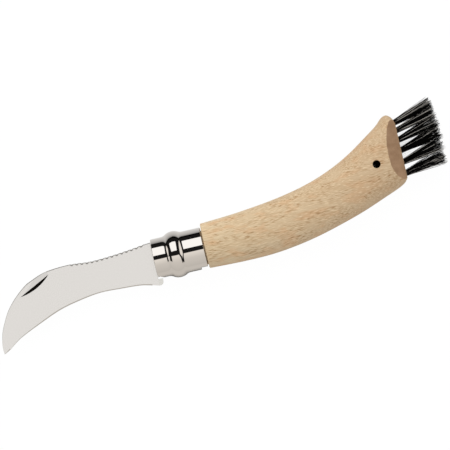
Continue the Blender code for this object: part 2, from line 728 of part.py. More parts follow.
def make_anchor(root, name, point, material):
    """The flat metal anchor that holds a tuft at the bottom of its hole."""
    middle = point - TUFT_AXIS * (HOLE_DEPTH - FIT_GAP - ANCHOR_LENGTH / 2.0)
    bm = bmesh.new()
    size = Matrix.Diagonal((ANCHOR_LENGTH, ANCHOR_WIDTH, ANCHOR_THICKNESS, 1.0))
    turn = Matrix.Rotation(TUFT_LEAN, 4, "Z")
    bmesh.ops.create_cube(bm, size=1.0, matrix=Matrix.Translation(middle) @ turn @ size)
    finish_object(bm, name, root, material)


def make_brush(root, bristle, steel):
    """Two rows of bristle tufts, each held by its own anchor."""
    for name, point, side, level in tuft_roots():
        make_tuft(root, f"tuft_{name}", point, side, level, bristle)
        make_anchor(root, f"tuft_anchor_{name}", point, steel)


def centre_on_ground(root):
    """Move the whole knife so that the zero point is under the middle of its bounds."""
    graph = bpy.context.evaluated_depsgraph_get()
    low = Vector((math.inf, math.inf, math.inf))
    high = -low
    for thing in bpy.context.scene.objects:
        if thing.type != "MESH" or thing.hide_render:
            continue
        seen = thing.evaluated_get(graph)
        for vert in seen.data.vertices:
            place = seen.matrix_world @ vert.co
            low = Vector(map(min, low, place))
            high = Vector(map(max, high, place))
    root.location = (-(low.x + high.x) / 2.0, -(low.y + high.y) / 2.0, -low.z)


def main():
    clear_scene()
    beech = make_material("beech", (0.67, 0.48, 0.30), 0.55, 0.0)
    polished = make_material("polished_steel", (0.62, 0.61, 0.60), 0.12, 1.0)
    satin = make_material("satin_steel", (0.66, 0.66, 0.65), 0.25, 1.0)
    bristle = make_material("bristle", (0.02, 0.02, 0.022), 0.5, 0.0)
    root = bpy.data.objects.new("knife_root", None)
    bpy.context.scene.collection.objects.link(root)
    make_handle(root, beech)
    make_collar(root, satin)
    make_ring(root, polished)
    make_pin(root, satin)
    make_blade(root, satin)
    make_brush(root, bristle, satin)
    centre_on_ground(root)


main()
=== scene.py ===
"""Folding mushroom knife, dressed: hooked blade, locking ring, beech handle and bristle brush.

Everything is placed round the locking ring's axis. X runs along it towards the brush, Y towards
the back of the open blade, and Z up from the surface that the knife lies on.
"""

import json
import math
import random

import bmesh
import bpy
from bpy.props import FloatProperty, FloatVectorProperty, IntProperty, PointerProperty
from mathutils import Matrix, Vector


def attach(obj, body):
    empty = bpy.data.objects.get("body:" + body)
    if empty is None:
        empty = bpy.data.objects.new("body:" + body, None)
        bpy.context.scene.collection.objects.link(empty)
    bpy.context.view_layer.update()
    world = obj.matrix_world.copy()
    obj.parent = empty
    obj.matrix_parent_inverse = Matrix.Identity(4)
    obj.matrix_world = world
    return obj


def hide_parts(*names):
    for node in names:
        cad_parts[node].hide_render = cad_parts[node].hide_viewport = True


bl_info = {
    "name": "Mushroom knife",
    "version": (1, 0, 0),
    "blender": (4, 5, 0),
    "location": "3D View > Sidebar > Mushroom knife",
    "description": "Models a folding mushroom knife with a brush, lying open",
    "category": "Object",
}

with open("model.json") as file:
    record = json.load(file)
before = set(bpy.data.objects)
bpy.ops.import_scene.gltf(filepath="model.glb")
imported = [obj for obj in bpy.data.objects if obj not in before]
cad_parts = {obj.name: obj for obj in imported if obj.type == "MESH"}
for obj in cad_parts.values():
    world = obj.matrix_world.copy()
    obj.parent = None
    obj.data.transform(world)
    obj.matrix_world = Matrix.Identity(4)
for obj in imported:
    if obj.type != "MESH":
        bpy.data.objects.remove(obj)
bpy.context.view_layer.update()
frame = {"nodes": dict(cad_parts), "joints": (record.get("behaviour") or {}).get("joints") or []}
MM = 0.001
UP = Vector((0.0, 0.0, 1.0))
RIGHT = Vector((1.0, 0.0, 0.0))

# The softbox: its tilt and distance from the ring, its size, and its shift along the ring's axis
BOX_ANGLE = math.radians(43.0)
BOX_AWAY = Vector((0.0, math.sin(BOX_ANGLE), math.cos(BOX_ANGLE)))
BOX_ACROSS = Vector((0.0, math.cos(BOX_ANGLE), -math.sin(BOX_ANGLE)))
BOX_DISTANCE = 0.9
BOX_LENGTH = 0.86
BOX_WIDTH = 0.82
BOX_SHIFT = -0.13
# What polished metal sees of the softbox and of the black frame round it
LAMP_TONE = (1.18, 1.18, 1.18, 1.0)
FRAME_TONE = (0.012, 0.011, 0.011, 1.0)
FLOOR_SIZE = 4.0
FLOOR_TONE = (0.86, 0.86, 0.86, 1.0)
FLOOR_GLEAM = (1.0, 0.99, 0.98, 1.0)
WHITE = (1.0, 1.0, 1.0, 1.0)

# The middle of the ring's bead, on the ring's axis, and the blade's hinge below it
joint_places = {joint["name"]: Vector(joint["pos_m"]) for joint in frame["joints"]}
AXIS = joint_places["ring_turn"]
PIVOT = Vector((0.0, joint_places["blade_fold"].y - AXIS.y, 0.0))

# Sizes of the solid model that the pieces below have to fit
FIT_GAP = 0.3 * MM
OVERRUN = 3.0 * MM
FOLD_ANGLE = math.radians(178.0)
BLADE_REACH = 77.6 * MM
BLADE_DROP = 27.5 * MM
SHOULDER_X = -10.8 * MM
SHOULDER_STEP = 0.1 * MM
GRIND_END_X = -14.0 * MM
TANG_HALF = 5.9 * MM
HEEL_RISE = 8.0 * MM
HEEL_DROP = 12.5 * MM
HEEL_LENGTH = 2.2 * MM
NOTCH_Y = -9.45 * MM
NOTCH_TOP = -8.6 * MM
GRIND_STEP = 0.3 * MM
TIP_SHARE = 0.3
HOLE_RADIUS = 1.6 * MM
COLLAR_FRONT_X = -10.2 * MM
COLLAR_REAR_X = 13.5 * MM
COLLAR_FRONT_RADIUS = 8.45 * MM
COLLAR_REAR_RADIUS = 8.8 * MM
COLLAR_WALL = 0.45 * MM
COLLAR_SLOT = 2.6 * MM
RING_FRONT_X = -10.4 * MM
RING_REAR_X = 13.3 * MM
RING_FRONT_RADIUS = 9.35 * MM
RING_REAR_RADIUS = 9.75 * MM
RING_GAP = 3.4 * MM
BEAD_HALF_WIDTH = 3.4 * MM
BEAD_RADIUS = 10.95 * MM
RELIEF_X = 10.0 * MM
RELIEF_FROM = math.radians(150.0)
RELIEF_TO = math.radians(285.0)
CHAMFER_LENGTH = 2.9 * MM
CHAMFER_HALF_WIDTH = 5.6 * MM
WOOD_X = 13.8 * MM
HANDLE_LENGTH = 98.4 * MM
HANDLE_RISE = 41.0 * MM
END_X = WOOD_X + HANDLE_LENGTH
TENON_FRONT_X = -9.9 * MM
SLOT_WIDTH = 2.4 * MM
END_THICKNESS = 9.6 * MM
FACET_LENGTH = 7.0 * MM
FACET_RISE = (2.0 * BEAD_RADIUS - END_THICKNESS) / 2.0
LANYARD = Vector((98.95 * MM, 19.639 * MM, 0.0))
TUFT_RADIUS = 1.4 * MM
TUFT_LENGTH = 20.6 * MM
TUFT_LOWEST = 12.7 * MM
TUFT_SPAN = 23.9 * MM
ROW_SPACING = 4.8 * MM
HOLE_DEPTH = 8.5 * MM
TUFT_LEAN = math.radians(14.3)
TUFT_AXIS = Vector((math.cos(TUFT_LEAN), math.sin(TUFT_LEAN), 0.0))
TUFT_ACROSS = Vector((-math.sin(TUFT_LEAN), math.cos(TUFT_LEAN), 0.0))
# Single bristles: depth of the foot in its hole, how far tips stray, how they fan out and taper
FOOT_DEPTH = 4.0 * MM
LEVEL_STRAY = 0.45 * MM
ROW_STRAY = 0.3 * MM
FAN_POWER = 1.4
TAPER = 0.6
GLINT_WIDTH = 1.1

# Extra rings of points keep flat stretches flat in the shading this far from their ends
SUPPORT_GAP = 0.15 * MM
# How far a face may lie past a cut's limits and still count as part of it
CLOSE = 0.01 * MM
NEAR = 0.05 * MM
# A hole's wall has a normal whose share along the hole is less than this
WALL_FACING = 0.9
# A cut's flat face has a normal whose share along the cut's own normal is more than this
FLAT_FACING = 0.999
# Material slots of the blade and the handle, after the first
NICK_SHADE_SLOT, RIM_SLOT, SCALLOP_SHADE_SLOT, RAMP_SLOT, TANG_SLOT = 1, 2, 3, 4, 5
END_SLOT, BORE_SHADE_SLOT = 1, 2

# Outlines as shares of the blade's reach and drop, and of the handle's length and rise
back_shares = [
    (0.998, -0.985), (0.999, -0.876), (0.986, -0.676), (0.957, -0.487), (0.919, -0.302),
    (0.867, -0.131), (0.8, 0.029), (0.753, 0.104), (0.648, 0.206), (0.505, 0.234),
    (0.376, 0.205), (0.247, 0.219), (0.119, 0.253), (0.041, 0.282),
]
edge_shares = [
    (0.996, -1.0), (0.959, -0.944), (0.878, -0.791), (0.747, -0.627), (0.612, -0.478),
    (0.483, -0.395), (0.356, -0.347), (0.233, -0.358), (0.113, -0.38), (0.041, -0.424),
]
heel_shares = [(0.45, 0.995), (0.78, 0.965), (0.96, 0.9)]
top_shares = [
    (0.0, 0.276), (0.16, 0.3), (0.32, 0.341), (0.44, 0.388), (0.55, 0.452), (0.66, 0.548),
    (0.76, 0.668), (0.86, 0.822), (0.915, 0.912), (0.944, 0.978), (0.967, 1.0), (0.984, 0.98),
    (0.994, 0.947), (1.0, 0.905),
]
bottom_shares = [
    (0.0, -0.239), (0.16, -0.251), (0.3, -0.246), (0.42, -0.215), (0.54, -0.161), (0.66, -0.086),
    (0.77, -0.006), (0.87, 0.083), (0.95, 0.156), (0.985, 0.2), (1.0, 0.238),
]
level_shares = [0.0, 0.226, 0.452, 0.657, 0.841, 1.0]
length_shares = [0.975, 0.985, 1.0, 0.995, 0.98, 0.95]
stray_shares = [1.8, 1.0, 1.0, 1.0, 1.0, 1.0]
spread_shares = [0.95, 1.15, 1.2, 1.15, 1.0, 0.92]

# Across the blade from its back: share of its width, and share of its thickness that is left
grind_levels = [(0.0, 0.6), (0.018, 1.0), (0.3, 0.82), (0.62, 0.55), (0.88, 0.28), (0.972, 0.16), (1.0, 0.04)]


def linear_color(hex_code):
    """An sRGB hex colour as the linear values that a shader takes."""
    values = []
    for start in (1, 3, 5):
        share = int(hex_code[start:start + 2], 16) / 255.0
        values.append(share / 12.92 if share <= 0.04045 else ((share + 0.055) / 1.055) ** 2.4)
    return (*values, 1.0)


def color_property(name, description, hex_code):
    return FloatVectorProperty(
        name=name, description=description, subtype="COLOR", size=4, min=0.0, max=1.0,
        default=linear_color(hex_code),
    )


def length_property(name, description, millimetres):
    return FloatProperty(
        name=name, description=description, unit="LENGTH", default=millimetres * MM, precision=5
    )


def angle_property(name, description, degrees):
    return FloatProperty(name=name, description=description, subtype="ANGLE", default=math.radians(degrees))


def number_property(name, description, default):
    return FloatProperty(name=name, description=description, default=default)


def count_property(name, description, default):
    return IntProperty(name=name, description=description, default=default)


class KnifeBladeSizes(bpy.types.PropertyGroup):
    thickness: length_property("Thickness", "Thickness of the blade at its back", 1.8)
    tip_thinning: length_property("Tip thinning", "Length that thins towards the tip", 7.0)
    stations: count_property("Stations", "Sections along the blade", 110)
    bare_share: number_property("Bare share", "Share of the grind before the ring", 0.92)
    serrations: count_property("Serrations", "Scallops on the back", 15)
    serration_start: length_property("Start", "From the shoulder to the first scallop", 4.3)
    serration_pitch: length_property("Pitch", "From one scallop to the next", 2.38)
    serration_radius: length_property("Radius", "Radius of one scallop", 0.8)
    serration_depth: length_property("Depth", "Depth of one scallop", 0.45)
    serration_lean: angle_property("Lean", "Slant of a scallop's wall", 24.0)
    nick_length: length_property("Nick length", "Length of the nail nick", 16.6)
    nick_bulge: length_property("Nick bulge", "How far the nick's wall bulges", 1.5)
    nick_depth: length_property("Nick depth", "Depth of the nail nick", 0.5)
    ramp_width: length_property("Ramp width", "From the nick's straight line to the ramp's end", 4.2)
    nick_x: length_property("Nick X", "Middle of the nick along the ring's axis", -67.5)
    nick_y: length_property("Nick Y", "Middle of the nick above the ring's axis", 0.45)
    nick_tilt: angle_property("Nick tilt", "Turn of the nick", 26.0)


class KnifeRingSizes(bpy.types.PropertyGroup):
    wall: length_property("Wall", "Thickness of the ring's metal", 0.55)
    lip: length_property("Lip", "Rounding of the ring's ends", 0.3)
    bead_arc: length_property("Bead", "Radius of the bead's round top", 6.2)
    fillet: length_property("Fillet", "Radius of the hollow beside the bead", 3.8)
    collar_setback: length_property("Setback", "How far the collar ends before its groove", 0.35)
    sides: count_property("Sides", "Steps round the ring", 160)


class KnifeHandleSizes(bpy.types.PropertyGroup):
    sides: count_property("Sides", "Points round the handle", 96)
    stations: count_property("Stations", "Sections along the handle", 110)
    thickness: length_property("Thickness", "Thickness of the wood at its fullest", 21.9)
    shoulder: length_property("Shoulder", "Thickness of the wood behind the ring", 20.8)
    edge_round: length_property("Edge", "Rounding of the edge behind the ring", 0.5)
    end_stretch: length_property("End stretch", "Where the outline turns in at the brush end", 6.0)
    filling_share: number_property("Filling share", "Share of the length that the wood fills out over", 0.3)
    lanyard_radius: length_property("Lanyard hole", "Radius of the lanyard hole", 1.85)
    fullness: number_property("Fullness", "2 is an ellipse, more is boxier", 2.3)


class KnifeBrushSizes(bpy.types.PropertyGroup):
    strands: count_property("Strands", "Bristles in one tuft", 150)
    grey_glint_share: number_property("Grey share", "Share of bristles that are grey", 0.075)
    strand_radius: length_property("Bristle radius", "Radius of one bristle at its root", 0.1)
    tip_spread: length_property("Spread", "Radius of a tuft at its tips", 3.0)
    row_spread: length_property("Row spread", "How far the rows lean apart", 0.3)
    level_spread: length_property("Level spread", "How far the levels lean apart", 0.7)
    bow: length_property("Bow", "Sideways bow of a bristle", 0.6)
    unevenness: number_property("Unevenness", "Share that bristle lengths vary by", 0.066)


class KnifeColors(bpy.types.PropertyGroup):
    beech_light: color_property("Light beech", "Pale wood between the grain", "#D7C2A0")
    beech_dark: color_property("Dark beech", "Late wood of the grain", "#C6AA84")
    beech_warm: color_property("Warm beech", "Orange patches", "#D3A97E")
    beech_red_shade: color_property("Red beech", "Wood near the brush", "#BB9B7A")
    # Partly painted shade: redder and darker, for the wood's tone and the shade near the brush end
    beech_fleck: color_property("Fleck", "Short ray flecks", "#A07A50")
    beech_pale: color_property("Pale fleck", "Short pale flecks", "#EAD3AE")
    end_grain: color_property("End grain", "Cut wood at the brush end", "#A98768")
    end_pores: color_property("End pores", "Pores in the cut wood", "#886646")
    # Painted shade: the holes' wood is coloured nearly black to stand in for the shade inside them
    bore_shade: color_property("Bore", "Wood scorched by the drill", "#45190F")
    blade_steel: color_property("Blade steel", "Fine-ground stainless steel", "#E7E8E9")
    # Painted shade: nearly black, standing in for the shade on the nick's steep wall
    nick_shade_steel: color_property("Nick steel", "Bare nick steel painted with shade", "#141210")
    # Partly painted shade: darker for the dark line along the bevels, as well as the honed finish
    edge_steel_and_shade: color_property("Edge steel", "Honed steel of the cutting edge", "#B9B6B1")
    # Painted shade: darker, for the shade on the scallops' slanted walls
    scallop_shade_steel: color_property("Scallop steel", "Milled steel in the scallops", "#A09D98")
    ramp_steel: color_property("Ramp steel", "Cross-ground steel beside the nick", "#DEDFE0")
    tang_steel: color_property("Tang steel", "Steel of the tang and heel", "#E2E4E3")
    ring_steel: color_property("Ring steel", "Polished stainless steel", "#CFCBC6")
    collar_steel: color_property("Collar steel", "Drawn stainless steel", "#C4C0BA")
    bristle_dark: color_property("Bristle", "Black bristle", "#030303")
    # Partly painted highlight: lighter hairs that also stand in for the glints of light on the black bristles
    bristle_grey_glint: color_property("Grey bristle", "Lighter bristles among the black", "#D2CDC5")
    bristle_root: color_property("Bristle root", "Brown of the bristles near the wood", "#120B08")
    studio_pale: color_property("Pale studio", "What metal sees of the pale studio", "#F6F1EB")


class KnifeStage(bpy.types.PropertyGroup):
    camera_height: length_property("Camera height", "Camera above the ring's axis", 650.0)
    camera_roll: angle_property("Camera roll", "Turn of the picture", 13.0)
    view_width: length_property("View width", "Width that the picture takes in", 209.3)
    picture_right: length_property("Right", "Picture's middle, right of the ring's", 22.674)
    picture_up: length_property("Up", "Picture's middle, above the ring's", 13.581)
    key_radiance: number_property("Key", "Brightness of the softbox", 1.9)
    fill: number_property("Fill", "Brightness of the room", 0.72)


def settings(name):
    return getattr(bpy.context.scene, name)


def smooth_curve(points, steps):
    """A Catmull-Rom curve through 2-D points, with steps stretches between each pair."""
    known = [Vector(point) for point in points]
    known = [2.0 * known[0] - known[1]] + known + [2.0 * known[-1] - known[-2]]
    curve = []
    for before, start, end, after in zip(known, known[1:], known[2:], known[3:]):
        for step in range(steps):
            t = step / steps
            linear = (end - before) * t
            square = (2.0 * before - 5.0 * start + 4.0 * end - after) * t * t
            cube = (3.0 * start - before - 3.0 * end + after) * t * t * t
            curve.append((2.0 * start + linear + square + cube) / 2.0)
    curve.append(known[-2])
    return curve


def spread_evenly(curve, count):
    """Count points at equal distances along a curve of points."""
    lengths = [0.0]
    for start, end in zip(curve, curve[1:]):
        lengths.append(lengths[-1] + (end - start).length)
    points = []
    piece = 0
    for index in range(count):
        wanted = lengths[-1] * index / (count - 1)
        while piece < len(curve) - 2 and lengths[piece + 1] < wanted:
            piece += 1
        share = (wanted - lengths[piece]) / (lengths[piece + 1] - lengths[piece])
        points.append(curve[piece].lerp(curve[piece + 1], share))
    return points


def quarter_turn(steps):
    """Angles from 0 to 90 degrees in equal steps."""
    return [math.radians(90.0) * step / steps for step in range(steps + 1)]


def height_at(curve, x):
    """Height of a curve of points that runs left to right, at x."""
    for start, end in zip(curve, curve[1:]):
        if x <= end.x:
            share = (x - start.x) / (end.x - start.x)
            return start.y + share * (end.y - start.y)
    return curve[-1].y


def blade_curve(shares):
    """A blade outline curve in real sizes, from the tip to the end of the sharpened stretch."""
    points = [
        (SHOULDER_X - share_x * BLADE_REACH, share_y * BLADE_DROP) for share_x, share_y in shares
    ]
    return smooth_curve(points, 8)


def heel_points():
    """The rounded heel below the ring, from the blade's edge towards the pivot."""
    return [
        Vector((SHOULDER_X + share_x * HEEL_LENGTH, -share_y * HEEL_DROP))
        for share_x, share_y in heel_shares
    ]


def at(x, y, z=0.0):
    """The place of a point that is measured from the middle of the ring's bead."""
    return AXIS + Vector((x, y, z))


def clear_selection():
    if bpy.context.object and bpy.context.object.mode == "EDIT":
        leave_edit_mode()
    for thing in list(bpy.context.selected_objects):
        thing.select_set(False)


def leave_edit_mode():
    bpy.ops.object.mode_set(mode="OBJECT")


def name_piece(piece, name):
    piece.name = name
    piece.data.name = name


def choose(piece):
    """Make the piece the only selected one, and the active one."""
    clear_selection()
    piece.select_set(True)
    bpy.context.view_layer.objects.active = piece


def draw_chain(name, points):
    """Pull one vertex from point to point, and stay in edit mode."""
    clear_selection()
    bpy.ops.mesh.primitive_plane_add(size=MM)
    piece = bpy.context.object
    name_piece(piece, name)
    bpy.ops.object.mode_set(mode="EDIT")
    select_mesh()
    bpy.ops.mesh.merge(type="CENTER")
    bpy.ops.transform.translate(value=points[0])
    for start, end in zip(points, points[1:]):
        bpy.ops.mesh.extrude_region_move(TRANSFORM_OT_translate={"value": end - start})
    return piece


def select_mesh():
    bpy.ops.mesh.select_all(action="SELECT")


def close_chain():
    """Fill the whole chain with one face."""
    select_mesh()
    bpy.ops.mesh.edge_face_add()


def merge_close_points():
    select_mesh()
    bpy.ops.mesh.remove_doubles(threshold=0.001 * MM)


def pull(offset):
    """Extrude what is selected by the offset."""
    bpy.ops.mesh.extrude_region_move(TRANSFORM_OT_translate={"value": offset})


def face_outwards():
    select_mesh()
    bpy.ops.mesh.normals_make_consistent(inside=False)


def draw_block(name, points, offset):
    """A flat outline pulled into a solid block."""
    block = draw_chain(name, points)
    close_chain()
    pull(offset)
    face_outwards()
    leave_edit_mode()
    return block


def draw_slab(name, outline, half_height):
    """A block with an outline of (x, y) points, as far above the ring's axis as below it."""
    return draw_block(name, [at(x, y, -half_height) for x, y in outline], UP * 2.0 * half_height)


def draw_rod(name, start, end, radius, sides=48):
    """A straight rod between two points."""
    clear_selection()
    along = end - start
    bpy.ops.mesh.primitive_cylinder_add(
        vertices=sides, radius=radius, depth=along.length, location=(start + end) / 2.0,
        rotation=along.to_track_quat("Z", "Y").to_euler(),
    )
    rod = bpy.context.object
    name_piece(rod, name)
    settle(rod)
    return rod


def draw_upright_rod(name, middle, reach, radius):
    """A rod that stands square to the blade's side, and reaches as far above it as below."""
    return draw_rod(name, middle - UP * reach, middle + UP * reach, radius)


def settle(piece):
    """Put the object at the origin and keep its place in its mesh."""
    choose(piece)
    bpy.ops.object.transform_apply(location=True, rotation=True, scale=True)


def join_pieces(pieces):
    clear_selection()
    for piece in pieces:
        piece.select_set(True)
    bpy.context.view_layer.objects.active = pieces[0]
    bpy.ops.object.join()
    return pieces[0]


def change_shape(piece, other, operation):
    """Cut the other shape out of the piece or join it on, and remove the other shape."""
    modifier = piece.modifiers.new(other.name, "BOOLEAN")
    modifier.operation = operation
    modifier.solver = "EXACT"
    modifier.use_self = True
    modifier.object = other
    choose(piece)
    bpy.ops.object.modifier_apply(modifier=modifier.name)
    bpy.data.objects.remove(other, do_unlink=True)


def cut_away(piece, cutter):
    change_shape(piece, cutter, "DIFFERENCE")


def shade(piece, degrees):
    choose(piece)
    bpy.ops.object.shade_smooth_by_angle(angle=math.radians(degrees))


def paint(piece, *materials):
    piece.data.materials.clear()
    for material in materials:
        piece.data.materials.append(material)


def paint_faces(piece, slot_index, wanted):
    """Give a material slot to the faces that the test wants, by their middle and normal."""
    for face in piece.data.polygons:
        if wanted(face.center - AXIS, face.normal):
            face.material_index = slot_index


def move_section(place, height, turn, following):
    """Pull the selected section of a loft to its next place, height, width and turn."""
    next_place, next_height, next_width, next_turn = following
    pull(next_place - place)
    if turn:
        bpy.ops.transform.rotate(value=turn, orient_axis="Z", center_override=next_place)
    bpy.ops.transform.resize(
        value=(1.0, next_height / height[0], next_width / height[1]), center_override=next_place
    )
    if next_turn:
        bpy.ops.transform.rotate(value=-next_turn, orient_axis="Z", center_override=next_place)


def draw_loft(stations):
    """Pull the section through stations of (place, height, width, turn), and cap it."""
    close_chain()
    for before, after in zip(stations, stations[1:]):
        move_section(before[0], (before[1], before[2]), before[3], after)
    face_outwards()


def add_node(tree, kind, inputs, **options):
    """One shader node with its options, and with each input's value or the socket linked to it."""
    node = tree.nodes.new(kind)
    for name, value in options.items():
        setattr(node, name, value)
    feed(tree, node, inputs)
    return node


def feed(tree, node, inputs):
    """Give each input of the node its value, or link it to its socket."""
    for name, value in inputs.items():
        if isinstance(value, bpy.types.NodeSocket):
            tree.links.new(value, node.inputs[name])
        else:
            node.inputs[name].default_value = value


def parts_of(tree, vector):
    """Sockets with the X, Y and Z of a vector."""
    return add_node(tree, "ShaderNodeSeparateXYZ", {"Vector": vector}).outputs


def start_material(name):
    """A new material with only its shader and output, and Object coordinates in millimetres."""
    material = bpy.data.materials.new(name)
    material.use_nodes = True
    tree = material.node_tree
    shader = tree.nodes["Principled BSDF"]
    place = add_node(tree, "ShaderNodeTexCoord", {})
    scaled = add_node(
        tree, "ShaderNodeMapping", {"Vector": place.outputs["Object"], "Scale": (1000.0, 1000.0, 1000.0)}
    )
    return material, tree, shader, scaled.outputs["Vector"]


def stretched_noise(tree, place, cell, detail=2.0, shift=0.0):
    """Noise whose cells measure the given millimetres along X, Y and Z."""
    scale = tuple(1.0 / size for size in cell)
    mapped = add_node(
        tree, "ShaderNodeMapping", {"Vector": place, "Scale": scale, "Location": (shift, 0.0, 0.0)}
    )
    inputs = {"Vector": mapped.outputs["Vector"], "Scale": 1.0, "Detail": detail}
    return add_node(tree, "ShaderNodeTexNoise", inputs).outputs["Fac"]


def between(tree, value, low, high, to_low=0.0, to_high=1.0):
    """The value's place between two limits, as a number from to_low to to_high."""
    inputs = {"Value": value, "From Min": low, "From Max": high, "To Min": to_low, "To Max": to_high}
    return add_node(tree, "ShaderNodeMapRange", inputs, clamp=True).outputs["Result"]


def between_degrees(tree, angle, low, high, to_low=0.0, to_high=1.0):
    """The same for an angle, with its limits in degrees."""
    return between(tree, angle, math.radians(low), math.radians(high), to_low, to_high)


def blend_colors(tree, share, first, second):
    node = add_node(tree, "ShaderNodeMix", {"Factor": share, 6: first, 7: second}, data_type="RGBA")
    return node.outputs[2]


def calculate(tree, operation, first, second=0.0):
    return add_node(tree, "ShaderNodeMath", {0: first, 1: second}, operation=operation).outputs[0]


def mix_shaders(tree, share, first, second):
    return add_node(tree, "ShaderNodeMixShader", {0: share, 1: first, 2: second}).outputs[0]


def emission(tree, color, strength):
    return add_node(tree, "ShaderNodeEmission", {"Color": color, "Strength": strength}).outputs[0]


def product(tree, *factors):
    """All the factors multiplied together."""
    total = factors[0]
    for factor in factors[1:]:
        total = calculate(tree, "MULTIPLY", total, factor)
    return total


def bump(tree, height, distance, strength):
    """Surface directions that make the height's ups and downs show as relief."""
    inputs = {"Height": height, "Distance": distance, "Strength": strength}
    return add_node(tree, "ShaderNodeBump", inputs).outputs["Normal"]


def make_beech(colors):
    """Pale beech, sanded and left bare: a soft dull surface with streaks and brown ray flecks."""
    material, tree, shader, place = start_material("sanded beech")
    # Growth streaks a few millimetres apart run the length of the handle
    growth = stretched_noise(tree, place, (60.0, 7.0, 7.0))
    fibres = stretched_noise(tree, place, (6.0, 0.6, 0.6), shift=3.0)
    patches = stretched_noise(tree, place, (9.0, 4.0, 4.0), shift=9.0)
    streaks = calculate(
        tree, "ADD", between(tree, growth, 0.3, 0.7, 0.0, 0.55), between(tree, fibres, 0.3, 0.75, 0.0, 0.5)
    )
    tone = blend_colors(tree, between(tree, streaks, 0.1, 1.1), colors.beech_light, colors.beech_dark)
    warm = blend_colors(tree, between(tree, patches, 0.5, 0.66, 0.0, 0.6), tone, colors.beech_warm)
    # The wood is painted redder and darker towards the brush: partly the wood's own tone, partly painted
    # shade.
    x = parts_of(tree, place)["X"]
    redder_shade = between(tree, x, (AXIS.x + WOOD_X) / MM, (AXIS.x + END_X) / MM, 0.0, 0.55)
    warm = blend_colors(tree, redder_shade, warm, colors.beech_red_shade)
    # Ray flecks are 1 to 2 mm long and a quarter of a millimetre wide
    flecks = stretched_noise(tree, place, (2.6, 0.27, 0.27), 0.0, shift=21.0)
    fleck_zone = stretched_noise(tree, place, (14.0, 3.5, 3.5), 1.0, shift=31.0)
    spots = product(
        tree, between(tree, flecks, 0.59, 0.72), between(tree, fleck_zone, 0.35, 0.6, 0.1, 1.0)
    )
    paler = blend_colors(tree, between(tree, flecks, 0.28, 0.4, 0.55, 0.0), warm, colors.beech_pale)
    flecked = blend_colors(tree, spots, paler, colors.beech_fleck)
    feed(tree, shader, {
        "Base Color": flecked, "Roughness": between(tree, fibres, 0.3, 0.7, 0.5, 0.62),
        "Specular IOR Level": 0.25, "Normal": bump(tree, fibres, 0.05 * MM, 0.5),
    })
    return material


def make_end_grain(colors):
    """Beech cut across its grain at the brush end: darker, with fine open pores."""
    material, tree, shader, place = start_material("beech end grain")
    rings = stretched_noise(tree, place, (8.0, 2.6, 4.0))
    pores = stretched_noise(tree, place, (0.5, 0.35, 0.35), 1.0, shift=5.0)
    tone = blend_colors(tree, between(tree, rings, 0.35, 0.7, 0.0, 0.5), colors.end_grain, colors.end_pores)
    pored = blend_colors(tree, between(tree, pores, 0.58, 0.72, 0.0, 0.6), tone, colors.end_pores)
    relief = bump(tree, pores, 0.05 * MM, 0.5)
    feed(tree, shader, {"Base Color": pored, "Roughness": 0.7, "Normal": relief})
    return material


def make_bore_shade(colors):
    """Beech inside a drilled hole, rough and painted nearly black: painted shade for the dark inside the deep
    holes.
    """
    material, tree, shader, place = start_material("beech painted with hole shade")
    wear = stretched_noise(tree, place, (0.8, 0.8, 0.8))
    tone = blend_colors(tree, between(tree, wear, 0.3, 0.7), colors.bore_shade, colors.bristle_dark)
    feed(tree, shader, {"Base Color": tone, "Roughness": 0.85, "Specular IOR Level": 0.0})
    return material


def make_steel(name, color, roughness, unevenness, line_size, depth):
    """Stainless steel whose fine finishing lines have the given cell size in millimetres."""
    material, tree, shader, place = start_material(name)
    lines = stretched_noise(tree, place, line_size)
    smears = stretched_noise(tree, place, (9.0, 9.0, 9.0), shift=4.0)
    lowest, highest = roughness * (1.0 - unevenness), roughness * (1.0 + unevenness)
    uneven = between(tree, smears, 0.3, 0.7, lowest, highest)
    feed(tree, shader, {"Base Color": color, "Metallic": 1.0, "Roughness": uneven})
    if depth:
        feed(tree, shader, {"Normal": bump(tree, lines, depth, 0.4)})
    return material


def make_bristle(name, color, root_color):
    """Animal bristle: tapered hairs with a dull shine, browner where they leave the wood."""
    material, tree, shader, place = start_material(name)
    root_x = (AXIS.x + END_X) / MM
    root = between(tree, parts_of(tree, place)["X"], root_x, root_x + 3.0, 1.0, 0.0)
    tone = blend_colors(tree, root, color, root_color)
    feed(tree, shader, {"Base Color": tone, "Roughness": 0.6, "Specular IOR Level": 0.08})
    return material


